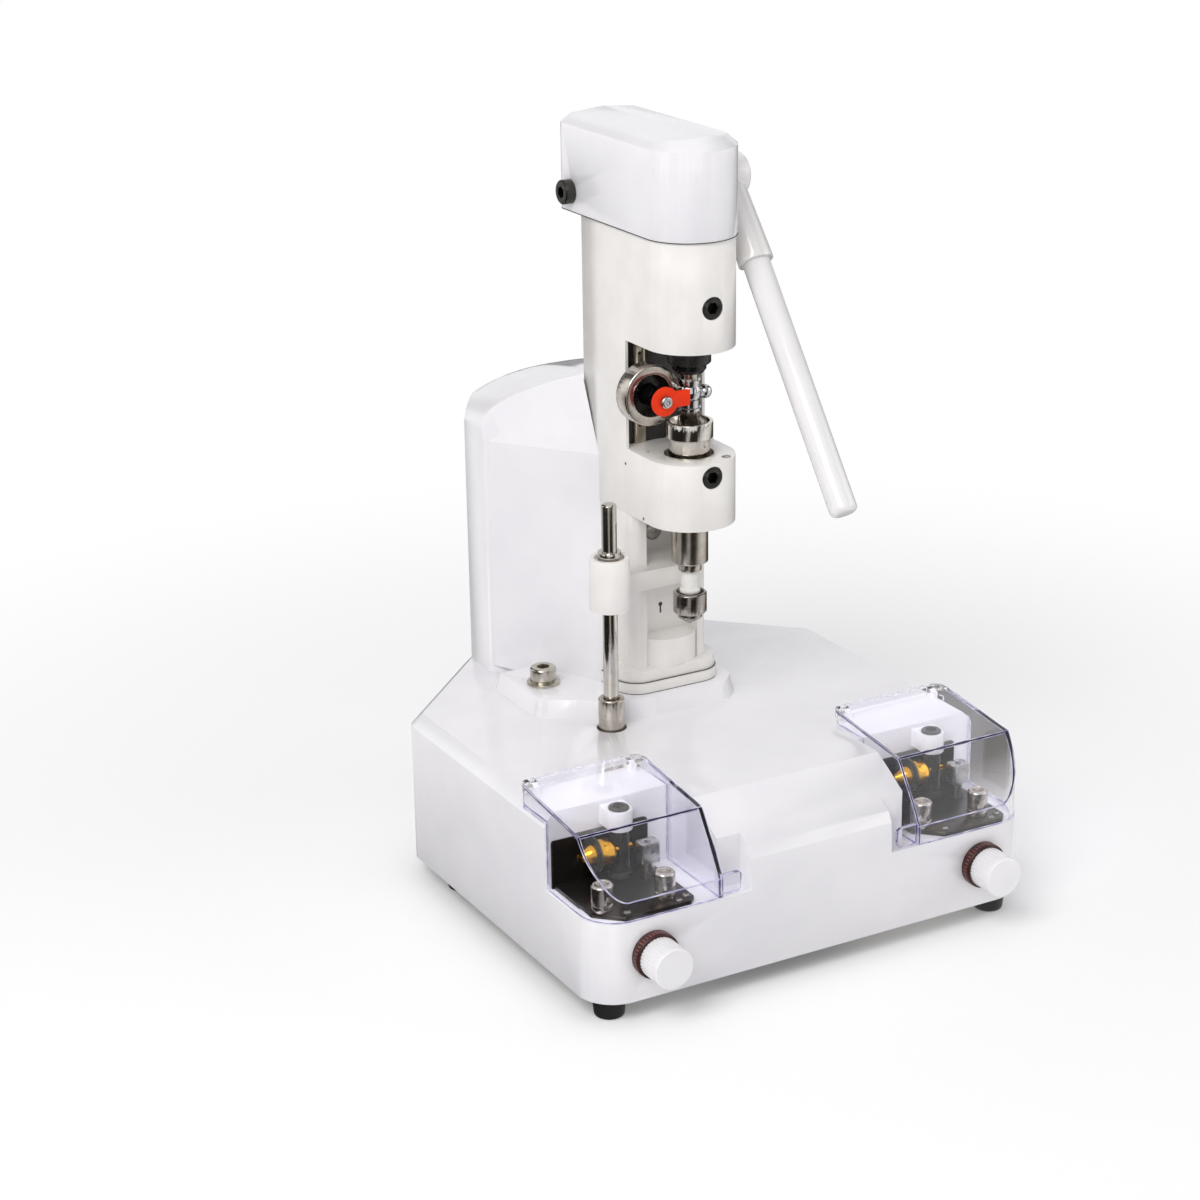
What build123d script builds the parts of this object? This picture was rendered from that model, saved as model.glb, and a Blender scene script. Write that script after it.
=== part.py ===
from build123d import *
import math
import os

# Bench-top lens drilling machine, in millimetres. X runs to the operator's right, Y runs back from
# the front panel and Z runs up from the table. Everything is modelled with Y counted from the front
# panel, and is moved to the middle of the whole depth when it is written.

# General walls and fits
wall = 4.0
gap = 0.3
running_fit = 0.05

# Base shell
base_width = 322.0
base_depth = 345.0
base_side = 255.0
base_bottom = 14.0
deck_top = 118.0
deck_bevel = 8.0
front_corner_radius = 25.0
rear_corner_radius = 12.0
front_break_height = 78.0
front_roll = [(1.0, 88.5), (4.5, 95.5), (28.0, 110.0)]
slope_end = 42.0

# Rear tower of the base shell
tower_half_width = 80.0
tower_rear = 337.0
tower_rear_corner = 13.0
tower_front = 235.0
tower_front_half = 19.0
tower_eave = 289.0
tower_crown_front = 342.0
tower_crown_rear = 318.0
tower_crown_half = 6.0
tower_band_bottom = 284.0
tower_band_height = 8.0
tower_band_angle = 10.0
tower_face_angle = 20.0

# Pedestal of the base shell
pedestal_height = 12.0
pedestal_draft = 14.0
pedestal_outline = [
    (-89, 262), (-89, 205), (-69, 193), (-54, 179), (-20, 170.5), (34, 170.5), (45, 182), (45, 262),
]
pedestal_corner = 11.0

# Station recesses at both ends of the front
recess_width = 92.0
recess_depth = 65.0
recess_floor = 68.0
notch_width = 17.0
notch_depth = 14.0

# Station table, post and tools, placed for the left station from the left end of the base
table_inset = 7.0
table_width = 65.0
table_front = 3.2
table_thickness = 3.0
table_corners = (15.0, 5.0)
post_inset = 47.0
post_y = 55.0
post_diameter = 12.5
boss_diameter = 17.0
boss_bottom = 103.0
boss_top = 115.0
post_cap_diameter = 13.0
roller_insets = [(15.0, 19.5), (56.0, 15.5)]
roller_diameter = 13.0
roller_height = 17.0
block_inset = 60.5
block_y = 43.5
block_size = (13.0, 10.0, 13.0)
block_stem_height = 11.0
block_stem_diameter = 8.0
panel_top = 100.0
panel_thickness = 1.5
panel_inset = 6.0
panel_width = 66.0
collet_offset = 3.5
collet_z = 91.0
collet_diameter = 17.0
collet_length = 12.0
collet_axle = 4.0
cutter_diameter = 23.0
cutter_thickness = 1.6
cutter_tip_length = 9.0
station_margins = 88.0

# Clear covers
cover_inset = 1.5
cover_width = 87.0
cover_wall = 2.2
cover_crease = (25.0, 119.5)
cover_rear_top = 127.3
cover_front = [(0.2, 81.0), (8.0, 95.0)]
cover_rear_radius = 7.0
cover_front_radius = 24.0
hinge_y = 96.3
hinge_rise = 5.1
hinge_overhang = 4.6
hinge_drop = 2.0
hinge_pin_diameter = 2.0
hinge_pin_length = 11.0
hinge_lug_width = 4.0
hinge_lug_radius = 1.7
tab_reach = 14.5
tab_height = 13.0
tab_front = 2.0
tab_sheet = 2.5

# Front knobs
knob_inset = 39.0
knob_z = 44.0
knob_diameter = 26.6
knob_reach = 26.0
knob_flutes = 36
knob_flute_width = 1.5
knob_flute_depth = 0.35
knob_rim = 4.0
dial_diameter = 30.0
dial_thickness = 7.0
knob_spindle = 6.0
control_diameter = 24.0
control_length = 14.0

# Motors and transformer inside the base
motor_diameter = 28.0
motor_length = 34.0
motor_boss = 3.0
motor_boss_diameter = 10.0
transformer_y = 225.0
transformer_core = (68.0, 40.0, 56.0)
transformer_winding = (44.0, 64.0, 32.0)
transformer_feet = (88.0, 20.0, 3.0)
winding_corner = 8.0

# Feet and bottom plate
foot_diameter = 22.0
foot_tread_diameter = 19.0
foot_insets = [(18.0, 18.0), (19.0, 222.0)]
foot_screw_diameter = 4.0
foot_screw_head = 9.0
foot_screw_head_height = 3.0
foot_screw_grip = 14.0
plate_thickness = 2.5

# Column and plinth
spindle_y = 160.0
column_half = 29.0
column_front = 185.0
column_rear = 252.0
column_corner = 7.5
channel_left = -18.0
channel_right = 20.5
channel_depth = 12.0
niche_depth = 30.0
plinth_half = 38.0
plinth_front = 177.0
plinth_height = 8.0
plinth_corner = 17.0
plinth_reveal = 0.8
flange_height = 8.0
ledge_top = 165.0
ledge_front = 177.5

# Guide arm and rod
rod_x = -56.6
rod_y = 165.7
rod_diameter = 10.0
rod_top = 272.0
rod_bottom = 96.0
collar_diameter = 17.3
collar_bottom = 112.0
collar_top = 139.0
collar_hole = 20.0
arm_boss_diameter = 26.6
arm_boss_bottom = 201.0
arm_boss_top = 236.0
arm_bottom = 204.0
arm_top = 217.0
arm_front = 176.0
bush_wall = 1.2
bush_flange = 2.6

# Head and cap
head_radius = 29.5
head_bottom = 254.0
head_top = 441.0
head_side = 225.0
head_rear = 254.0
head_rear_half = 25.0
throat_bottom = 298.0
throat_top = 370.0
throat_back = 190.0
throat_recess = 10.0
throat_lip = 2.0
ear_width = 9.0
ear_depth = 11.0
ear_height = 12.0
rail_left = -19.6
rail_width = 8.0
rail_thickness = 2.0
rail_hole = 2.5
rail_hole_inset = 12.0
cap_overlap = 1.0
cap_top = 503.0
cap_gable = 2.2
cap_bevel_height = 6.0
cap_bevel_inset = 7.0
cap_rear = 276.0
cap_rear_radius = 8.0
plug_diameter = 15.0
plug_length = 10.5
plug_heights = [289.0, 399.0]
plug_hex = 7.0
side_screw_place = (258.0, 454.0)
side_screw_diameter = 16.0
side_screw_reach = 7.0

# Lever, cross shaft and feed rack
lever_y = 190.0
lever_z = 468.0
lever_x = 45.0
lever_length = 235.0
lever_angle = 37.0
lever_hub_diameter = 28.0
lever_hub_length = 23.0
lever_sleeve_diameter = 23.0
lever_sleeve_root = 20.0
lever_sleeve_length = 62.0
lever_grip_diameter = 17.8
lever_grip_round = 3.5
lever_grip_socket = 14.0
shaft_diameter = 10.0
shaft_bush_diameter = 14.0
gear_module = 2.0
gear_teeth = 24
gear_width = 10.0
gear_addendum = 0.8
gear_dedendum = 1.2
gear_tooth_share = 0.40
gear_pressure = 20.0
rack_width = 12.0
rack_back = 6.0
rack_bottom = 446.0
rack_top = 495.0
feed_travel = 19.0
feed_rod_diameter = 12.0

# Quill, bushes and chuck
quill_diameter = 24.0
quill_wall = 1.8
quill_bottom = 225.0
quill_top = 304.0
quill_hole = 33.0
quill_cap_diameter = 30.5
quill_cap_band = 26.5
quill_cap_bottom = 297.0
quill_cap_step = 309.0
quill_cap_top = 320.0
quill_cap_bore = 25.0
quill_cap_web = 8.0
feed_bush_diameter = 22.0
feed_bush_flange = 28.0
feed_bush_step = 358.0
feed_bush_bottom = 352.0
clevis_diameter = 13.0
clevis_bottom = 327.0
clevis_top = 346.0
clevis_pin_z = 337.5
clevis_pin_diameter = 7.0
clevis_pin_reach = 14.0
spindle_shaft = 6.0
spindle_seat = 36.0
spindle_collar_diameter = 15.3
spindle_collar_bottom = 219.0
sleeve_bottom = 206.0
sleeve_diameter = 11.5
chuck_diameter = 22.0
chuck_top = 204.0
chuck_bottom = 190.0
chuck_step_diameter = 16.0
chuck_nose_bottom = 186.0
jaw_bottom = 182.4
jaw_circle = 8.0

# Stop ring in the throat
ring_x = -23.1
ring_z = 337.7
ring_front = 167.0
ring_width = 12.0
ring_diameter = 39.8
ring_bore = 27.0
stop_shaft_end = 152.0
stop_shaft_diameter = 9.0
stop_spigot = 6.0
tab_eye_diameter = 19.0
tab_tongue_width = 10.5
tab_tongue_end = -5.0
tab_thickness = 1.5
tab_screw_diameter = 8.0

# Lock screw on the pedestal
lock_x = -72.4
lock_y = 231.0
lock_washer_diameter = 22.0
lock_washer_thickness = 2.0
lock_head_diameter = 17.5
lock_head_height = 10.0
lock_hex = 8.0

# Worked out from the sizes above
middle_y = (base_depth - knob_reach) / 2
half_width = base_width / 2
station_pitch = base_width - station_margins
table_left = table_inset - half_width
panel_left = panel_inset - half_width
post_x = post_inset - half_width
block_x = block_inset - half_width
roller_places = [(inset - half_width, y) for inset, y in roller_insets]
knob_x = half_width - knob_inset
foot_places = [(side * (half_width - inset), y) for inset, y in foot_insets for side in (-1, 1)]
cover_outer = half_width - cover_inset
pedestal_top = deck_top + pedestal_height
plinth_top = pedestal_top + plinth_height
flange_top = plinth_top + flange_height
table_top = recess_floor + table_thickness
cover_inner = cover_outer - cover_width
hinge_z = deck_top + hinge_rise
pitch_radius = gear_module * gear_teeth / 2
pitch_y = lever_y - pitch_radius
recess_inner = half_width - recess_width
collet_y = post_y - collet_offset
bush_outer = rod_diameter + 2 * bush_wall
plug_seat = spindle_y - head_radius + 0.8
lever_axis = Pos(lever_x, lever_y, lever_z) * Rot(180 - lever_angle, 0, 0)


def rod(x, y, bottom, top, diameter):
    """Upright round bar."""
    return Pos(x, y, (bottom + top) / 2) * Cylinder(diameter / 2, top - bottom)


def cross_rod(left, right, y, z, diameter):
    """Round bar along X."""
    return Pos((left + right) / 2, y, z) * Rot(0, 90, 0) * Cylinder(diameter / 2, right - left)


def level_rod(x, front, back, z, diameter):
    """Round bar along Y."""
    return Pos(x, (front + back) / 2, z) * Rot(90, 0, 0) * Cylinder(diameter / 2, back - front)


def block(left, right, front, back, bottom, top):
    """Square block between two corners."""
    middle = Pos((left + right) / 2, (front + back) / 2, (bottom + top) / 2)
    return middle * Box(right - left, back - front, top - bottom)


def turned(outline, x=0.0, y=0.0):
    """Turned piece: the outline is a closed list of (radius, height)."""
    return Pos(x, y, 0) * revolve(make_face(Plane.XZ * Polyline(*outline, close=True)), Axis.Z)


def slab(outline, bottom, top):
    """Flat outline raised between two heights."""
    return Pos(0, 0, bottom) * extrude(outline, amount=top - bottom)


def side_profile(outline, half):
    """Outline of (Y, Z) points drawn out to both sides of the middle plane."""
    return extrude(make_face(Plane.YZ * Polyline(*outline, close=True)), amount=half, both=True)


def hex_hole(across_flats, depth):
    """Hexagon socket that starts at the origin and goes down."""
    hexagon = RegularPolygon(across_flats / math.sqrt(3), 6)
    return Pos(0, 0, -depth / 2) * extrude(hexagon, amount=depth / 2, both=True)


def both_sides(shape):
    """A piece and its mirror image on the other side of the machine."""
    return [shape, mirror(shape, Plane.YZ)]


def both_stations(shape):
    """A station piece of the left station and its copy at the right one."""
    return [shape, Pos(station_pitch, 0, 0) * shape]


def group(shapes):
    """Separate solids kept in one file."""
    return Compound([solid for shape in shapes for solid in shape.solids()])


def base_plan():
    """Outline of the base: straight sides and two cut rear corners."""
    cut = base_depth - base_side
    corners = [
        (-half_width, 0),
        (half_width, 0),
        (half_width, base_side),
        (half_width - cut, base_depth),
        (cut - half_width, base_depth),
        (-half_width, base_side),
    ]
    plan = make_face(Polyline(*corners, close=True))
    front = plan.vertices().group_by(Axis.Y)[0]
    plan = fillet(front, front_corner_radius)
    return fillet(plan.vertices().filter_by(lambda v: v.Y > base_side - 1), rear_corner_radius)


def base_form(inset):
    """Outer form of the base without its tower, drawn in by a wall."""
    plan = offset(base_plan(), -inset, kind=Kind.INTERSECTION) if inset else base_plan()
    top = deck_top - inset
    rim = top - deck_bevel
    form = slab(plan, base_bottom, rim) + Pos(0, 0, rim) * extrude(plan, amount=deck_bevel, taper=45)
    roll = [(y + inset, z - inset) for y, z in front_roll]
    profile = [(inset, base_bottom), (inset, front_break_height - inset), *roll, (slope_end + inset, top)]
    profile += [(base_depth, top), (base_depth, base_bottom)]
    return form & side_profile(profile, base_width)


def tower_section(crown, inset, y):
    """Arched section of the tower: upright sides and a flat elliptical crown."""
    half = tower_half_width - inset
    eave = tower_eave
    crown = crown - inset
    reach = half - tower_crown_half
    left = EllipticalCenterArc((-tower_crown_half, eave), reach, crown - eave, 90, arc_size=90)
    right = EllipticalCenterArc((tower_crown_half, eave), reach, crown - eave, 0, arc_size=90)
    sides = Polyline((-half, eave), (-half, deck_top - wall), (half, deck_top - wall), (half, eave))
    top = Line((-tower_crown_half, crown), (tower_crown_half, crown))
    return Plane((0, y, 0), x_dir=(1, 0, 0), z_dir=(0, -1, 0)) * make_face(left + right + sides + top)


def tower_form(inset):
    """Rear tower: arched roof that falls to the rear, and splayed front faces that lean back."""
    rear = tower_rear - inset
    body = loft([
        tower_section(tower_crown_front, inset, tower_front - 20),
        tower_section(tower_crown_rear, inset, rear),
    ])
    shift = inset * math.sqrt(2)
    splay = tower_half_width * 2 - tower_front_half
    corner = tower_rear_corner + inset * (math.sqrt(2) - 1)
    front = tower_front + shift
    outline = [
        (-tower_front_half, front),
        (tower_front_half, front),
        (tower_front_half + splay, front + splay),
        (tower_front_half + splay, front + 2 * splay),
        (-tower_front_half - splay, front + 2 * splay),
        (-tower_front_half - splay, front + splay),
    ]
    plan = make_face(Polyline(*outline, close=True))
    band_top = tower_band_bottom + tower_band_height
    band = Pos(0, 0, tower_band_bottom) * extrude(plan, amount=tower_band_height, taper=tower_band_angle)
    band_inset = tower_band_height * math.tan(math.radians(tower_band_angle))
    drawn_in = offset(plan, -band_inset, kind=Kind.INTERSECTION)
    face = Pos(0, 0, band_top) * extrude(drawn_in, amount=60, taper=tower_face_angle)
    front_cut = slab(plan, deck_top - wall, tower_band_bottom) + band + face
    half = tower_half_width - inset
    cut_corners = make_face(Polyline(
        (-half, 0), (half, 0), (half, rear - corner), (half - corner, rear),
        (corner - half, rear), (-half, rear - corner), close=True,
    ))
    return body & front_cut & slab(cut_corners, 0, tower_crown_front + 10)


def head_plan(grow=0.0):
    """Outline of the head: round nose on the spindle axis, straight sides and a tapered rear."""
    nose = head_radius + grow
    rear_half = head_rear_half + grow
    arc = CenterArc((0, spindle_y), nose, 180, 180)
    sides = Polyline(
        (nose, spindle_y), (nose, head_side), (rear_half, head_rear + grow),
        (-rear_half, head_rear + grow), (-nose, head_side), (-nose, spindle_y),
    )
    return make_face(arc + sides)


def tower_notch(grow):
    """Room in the tower for the column and the head."""
    half = column_half + grow
    low = block(-half, half, column_front, column_rear + grow, pedestal_top, head_bottom)
    return low + slab(head_plan(grow), head_bottom - grow, tower_crown_front + 10)


def station_recess(grow=0.0):
    """Cut of the left station: table recess and finger notch, open to the front and the top."""
    inner = -recess_inner + grow
    floor = recess_floor - grow
    main = block(-half_width - 5, inner, -5, recess_depth + grow, floor, deck_top + 5)
    notch = block(-recess_inner, inner + notch_width, -5, notch_depth + grow, floor, deck_top + 5)
    return main + notch


def base_shell():
    """One moulding: base, pedestal and rear tower, open below."""
    pedestal_plan = make_face(Polyline(*pedestal_outline, close=True))
    rounded = pedestal_plan.vertices().filter_by(lambda v: v.Y < 250)
    pedestal_plan = fillet(rounded, pedestal_corner)
    spread = pedestal_height * math.tan(math.radians(pedestal_draft))
    foot = offset(pedestal_plan, spread)
    pedestal = Pos(0, 0, deck_top) * extrude(foot, amount=pedestal_height, taper=pedestal_draft)
    shell = base_form(0) + pedestal + tower_form(0)
    cavity = base_form(wall) + tower_form(wall)
    recesses = both_sides(station_recess())
    for cut in both_sides(station_recess(wall)) + [tower_notch(wall + gap)]:
        cavity -= cut
    shell -= cavity
    for cut in recesses:
        shell -= cut
    shell -= tower_notch(gap)
    boss = rod(post_x, post_y, boss_bottom, boss_top, boss_diameter)
    half = boss_diameter / 2
    web = block(post_x - half, post_x + half, post_y, recess_depth + 1, boss_bottom, boss_top)
    for piece in both_stations(boss + web):
        shell += piece
    for piece in both_stations(rod(post_x, post_y, boss_bottom - 1, boss_top + 1, post_diameter)):
        shell -= piece
    for x, y in foot_places:
        ceiling = recess_floor - wall if y < recess_depth else deck_top - wall
        shell += rod(x, y, base_bottom + plate_thickness, ceiling + 1, 2.6 * foot_screw_diameter)
        shell -= rod(x, y, base_bottom, base_bottom + 16, foot_screw_diameter)
    shell -= rod(rod_x, rod_y, deck_top - 2 * wall, deck_top + 1, collar_hole)
    shell -= rod(lock_x, lock_y, deck_top - 2 * wall, pedestal_top + 1, lock_hex)
    for side in (-1, 1):
        shell -= level_rod(side * knob_x, -1, wall + 1, knob_z, knob_spindle + 3)
    for lug in hinge_lugs():
        shell += lug
    for hole in hinge_pins():
        shell -= hole
    return shell


def lug_places():
    """Left edges of the two hinge lugs inside the left cover."""
    outer = -cover_outer + cover_rear_radius + gap
    inner = -cover_inner - cover_rear_radius - gap - hinge_lug_width
    return [outer, inner]


def hinge_lugs():
    """Four small lugs on the deck that carry the hinge pins of the covers."""
    lugs = []
    front = hinge_y - 2 * hinge_lug_radius
    rear = hinge_y + hinge_lug_radius
    for left in lug_places():
        right = left + hinge_lug_width
        foot = block(left, right, front, rear, deck_top - 1.5, hinge_z)
        lugs += both_sides(foot + cross_rod(left, right, hinge_y, hinge_z, 2 * hinge_lug_radius))
    return lugs


def hinge_pins():
    """Hinge pins of both covers: each goes through a side wall into its lug."""
    outer = -cover_outer + hinge_pin_diameter / 2
    inner = -cover_inner - hinge_pin_diameter / 2
    pins = []
    for left in (outer, inner - hinge_pin_length):
        pins += both_sides(cross_rod(left, left + hinge_pin_length, hinge_y, hinge_z, hinge_pin_diameter))
    return pins


def bottom_plate():
    """Steel plate that closes the base, with holes for the foot screws."""
    plan = offset(base_plan(), -wall - gap, kind=Kind.INTERSECTION)
    plate = slab(plan, base_bottom, base_bottom + plate_thickness)
    for x, y in foot_places:
        plate -= rod(x, y, 0, 30, foot_screw_diameter)
    return plate


def rubber_foot(x, y):
    """Tapered rubber foot with a deep hole for its screw."""
    top = foot_diameter / 2
    tread = foot_tread_diameter / 2
    head = foot_screw_head / 2
    bore = foot_screw_diameter / 2
    outline = [(head + gap, 0), (tread - 1, 0), (tread, 1), (top, base_bottom)]
    outline += [(bore, base_bottom), (bore, base_bottom / 2), (head + gap, base_bottom / 2)]
    return turned(outline, x, y)


def foot_screw(x, y):
    """Pan-head screw of a foot."""
    seat = base_bottom / 2
    head = rod(x, y, seat - foot_screw_head_height, seat, foot_screw_head)
    return head + rod(x, y, seat, base_bottom + foot_screw_grip, foot_screw_diameter)


def lock_screw():
    """Hexagon socket screw on the pedestal."""
    seat = pedestal_top + lock_washer_thickness
    top = seat + lock_head_height
    head = turned([(0, seat), (lock_head_diameter / 2, seat), (lock_head_diameter / 2, top - 1),
                   (lock_head_diameter / 2 - 1, top), (0, top)], lock_x, lock_y)
    head -= Pos(lock_x, lock_y, top) * hex_hole(lock_hex, 6)
    return head + rod(lock_x, lock_y, pedestal_top - 18, seat, lock_hex)


def lock_washer():
    """Plain washer under the lock screw."""
    ring = rod(lock_x, lock_y, pedestal_top, pedestal_top + lock_washer_thickness, lock_washer_diameter)
    return ring - rod(lock_x, lock_y, pedestal_top - 1, pedestal_top + 5, lock_hex)


def foot_plan(inset):
    """Outline shared by the plinth and the foot of the column."""
    rear = tower_front - gap
    half = plinth_half - inset
    front = plinth_front + inset
    outline = make_face(Polyline((-half, front), (half, front), (half, rear), (-half, rear), close=True))
    return fillet(outline.vertices().group_by(Axis.Y)[0], plinth_corner - inset)


def column_plinth():
    """Plinth under the column, with a shadow gap above and below."""
    narrow = foot_plan(plinth_reveal)
    body = slab(foot_plan(0), pedestal_top + plinth_reveal, plinth_top - plinth_reveal)
    plinth = body + slab(narrow, pedestal_top, plinth_top)
    return plinth - tower_splay()


def tower_splay():
    """Space taken by the splayed front of the tower, with its gap."""
    reach = tower_half_width
    outline = [
        (-tower_front_half, tower_front - gap), (tower_front_half, tower_front - gap),
        (tower_front_half + reach, tower_front - gap + reach),
        (-tower_front_half - reach, tower_front - gap + reach),
    ]
    return slab(make_face(Polyline(*outline, close=True)), pedestal_top - 1, flange_top + 1)


def column_frame():
    """Cast column: foot, two pillars, a back wall, a niche above and a curved ledge below."""
    plan = make_face(Polyline((-column_half, column_front), (column_half, column_front),
                              (column_half, column_rear), (-column_half, column_rear), close=True))
    plan = fillet(plan.vertices().group_by(Axis.Y)[0], column_corner)
    column = slab(plan, plinth_top, head_bottom)
    foot = slab(foot_plan(1.2), plinth_top, flange_top) - tower_splay()
    channel_back = column_front + channel_depth
    column -= block(channel_left, channel_right, 0, channel_back, flange_top, head_bottom + 1)
    column -= block(channel_left, channel_right, 0, column_front + niche_depth, arm_top, head_bottom - 6)
    column += foot
    middle = (channel_left + channel_right) / 2
    sides = column_front + 2
    front = ThreePointArc((channel_left, sides), (middle, ledge_front), (channel_right, sides))
    back = Polyline((channel_right, column_front + 2), (channel_right, column_front + channel_depth),
                    (channel_left, column_front + channel_depth), (channel_left, column_front + 2))
    return column + slab(make_face(front + back), flange_top, ledge_top)


def guide_arm():
    """Arm with the bored boss of the guide rod; its other end fills the channel of the column."""
    boss = rod(rod_x, rod_y, arm_boss_bottom, arm_boss_top, arm_boss_diameter)
    socket_rear = column_front + channel_depth
    plan = make_face(Polyline(
        (rod_x, arm_front), (channel_right - gap, arm_front), (channel_right - gap, socket_rear),
        (channel_left + gap, socket_rear), (channel_left + gap, column_front - gap),
        (rod_x + 4, column_front - gap), (rod_x, rod_y + arm_boss_diameter / 2 - 1), close=True,
    ))
    arm = boss + slab(plan, arm_bottom, arm_top)
    arm -= rod(rod_x, rod_y, arm_boss_bottom - 1, arm_boss_top + 1, bush_outer)
    return arm - rod(rod_x, rod_y, arm_boss_top - bush_flange, arm_boss_top + 1, arm_boss_diameter - 7)


def guide_bush(seat, end, flange, bottom):
    """Flanged bush of the guide rod between its outer face and its inner end."""
    bush = rod(rod_x, rod_y, min(seat, bottom), max(seat, bottom), bush_outer)
    bush += rod(rod_x, rod_y, min(seat, end), max(seat, end), flange)
    return bush - rod(rod_x, rod_y, 0, head_top, rod_diameter + 2 * running_fit)


def guide_bushes():
    """Two flanged bushes, one from each end of the boss."""
    seat = arm_boss_top - bush_flange
    upper = guide_bush(seat, arm_boss_top + 4, bush_outer + 3, arm_boss_top - 14)
    lower = guide_bush(arm_boss_bottom, arm_boss_bottom - bush_flange, bush_outer + 1, arm_boss_bottom + 14)
    return [upper, lower]


def guide_rod():
    """Ground guide rod with bevelled ends."""
    half = rod_diameter / 2
    outline = [(0, rod_bottom), (half - 1, rod_bottom), (half, rod_bottom + 1), (half, rod_top - 1)]
    return turned(outline + [(half - 1, rod_top), (0, rod_top)], rod_x, rod_y)


def rod_collar():
    """Collar clamped on the guide rod, with a countersunk top."""
    inner = rod_diameter / 2
    outer = collar_diameter / 2
    outline = [
        (inner, collar_bottom), (outer, collar_bottom), (outer, collar_top - 0.6), (outer - 0.6, collar_top),
    ]
    outline += [(inner + 1.6, collar_top), (inner, collar_top - 3)]
    return turned(outline, rod_x, rod_y)



def head_casting():
    """Head: lower block with the quill bore, open throat and upper block with the feed rod bore."""
    head = slab(head_plan(), head_bottom, head_top)
    head -= block(-50, 50, 0, throat_back, throat_bottom, throat_top)
    side = head_radius - throat_lip
    head -= block(-side, side, throat_back - 1, throat_back + throat_recess, throat_bottom, throat_top)
    head -= rod(0, spindle_y, head_bottom - 1, throat_bottom + 1, quill_hole)
    head -= rod(0, spindle_y, throat_top - 1, head_top + 1, feed_bush_diameter)
    well = block(-rack_width / 2 - 1.5, rack_width / 2 + 1.5, spindle_y - rack_back - 1.5, pitch_y + 4,
                 rack_bottom - feed_travel - 3, head_top + 1)
    head -= well
    for z in plug_heights:
        head -= level_rod(0, 0, plug_seat + plug_length, z, plug_diameter)
    left = head_radius - ear_width
    top = throat_bottom + ear_height
    ear = block(left, head_radius, throat_back - ear_depth, throat_back, throat_bottom, top)
    ear = fillet(ear.edges().filter_by(Axis.Y).group_by(Axis.Z)[-1], 4.4)
    return head + ear


def throat_plate():
    """Blackened plate at the back of the throat."""
    side = head_radius - throat_lip
    back = throat_back + throat_recess
    plate = block(-side, side, back - 2, back, throat_bottom, throat_top)
    return plate


def rail_strip():
    """Ground steel strip screwed to the throat plate."""
    face = throat_back + throat_recess - rail_thickness
    right = rail_left + rail_width
    strip = block(rail_left, right, face - rail_thickness, face, throat_bottom, throat_top)
    for z in (throat_bottom + rail_hole_inset, throat_top - rail_hole_inset):
        strip -= level_rod(rail_left + rail_width / 2, 0, face + 1, z, rail_hole)
    return strip


def cap_plan(inset):
    """Outline of the cap: the nose of the head, straight sides and a rear that overhangs."""
    nose = head_radius + cap_overlap - inset
    rear = cap_rear - inset
    arc = CenterArc((0, spindle_y), nose, 180, 180)
    sides = Polyline((nose, spindle_y), (nose, rear), (-nose, rear), (-nose, spindle_y))
    plan = make_face(arc + sides)
    return fillet(plan.vertices().group_by(Axis.Y)[-1], cap_rear_radius - inset)


def cap_form(inset, bottom):
    """Outer form of the cap with its bevelled rim and shallow gable."""
    rim = cap_top - cap_bevel_height - inset
    angle = math.degrees(math.atan2(cap_bevel_inset, cap_bevel_height))
    plan = cap_plan(inset)
    bevel = extrude(plan, amount=cap_bevel_height + cap_gable, taper=angle)
    form = slab(plan, bottom, rim) + Pos(0, 0, rim) * bevel
    half = head_radius + cap_overlap - cap_bevel_inset
    top = cap_top - inset
    edge = top - cap_gable
    gable = make_face(Plane.XZ * Polyline(
        (-60, bottom), (60, bottom), (60, edge), (half, top - 0.4), (0, top + cap_gable),
        (-half, top - 0.4), (-60, edge), close=True,
    ))
    return form & Pos(0, 200, 0) * extrude(gable, amount=200, both=True)


def head_cap():
    """Moulded cap: thin shell with two inner bosses for the bushes of the cross shaft."""
    cap = cap_form(0, head_top)
    cavity = cap_form(wall, head_top + wall)
    mouth = block(-half_width, half_width, 0, head_rear - wall - 2, 0, cap_top)
    cavity += slab(cap_plan(wall), head_top - 1, head_top + wall) & mouth
    boss_inner = gear_width / 2 + 11
    for boss in both_sides(cross_rod(boss_inner, head_radius, lever_y, lever_z, shaft_bush_diameter + 7)):
        cavity -= boss
    cap -= cavity
    cap -= cross_rod(-head_radius + wall, 60, lever_y, lever_z, shaft_bush_diameter)
    y, z = side_screw_place
    return cap - cross_rod(-60, -head_radius + wall + 1, y, z, side_screw_diameter / 2)


def lever_bushes():
    """Plain bushes of the cross shaft, one in each boss of the cap."""
    inner = gear_width / 2 + 11
    outer = head_radius + cap_overlap
    right = cross_rod(inner, outer, lever_y, lever_z, shaft_bush_diameter)
    left = cross_rod(-head_radius + wall, -inner, lever_y, lever_z, shaft_bush_diameter)
    bore = cross_rod(-60, 60, lever_y, lever_z, shaft_diameter + 2 * running_fit)
    return [right - bore, left - bore]


def socket_plugs():
    """Two black socket plugs in the front of the head and the socket screw on the cap's left side."""
    plugs = []
    for z in plug_heights:
        plug = level_rod(0, plug_seat, plug_seat + plug_length, z, plug_diameter)
        plug = chamfer(plug.edges().group_by(Axis.Y)[0], 0.8)
        plugs.append(plug - Pos(0, plug_seat, z) * Rot(90, 0, 0) * hex_hole(plug_hex, 6))
    y, z = side_screw_place
    face = -head_radius - cap_overlap
    screw = cross_rod(face - side_screw_reach, face, y, z, side_screw_diameter)
    screw = chamfer(screw.edges().group_by(Axis.X)[0], 0.8)
    screw -= Pos(face - side_screw_reach, y, z) * Rot(0, -90, 0) * hex_hole(plug_hex, 5)
    plugs.append(screw + cross_rod(face, face + wall + 3, y, z, side_screw_diameter / 2))
    return plugs


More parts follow.
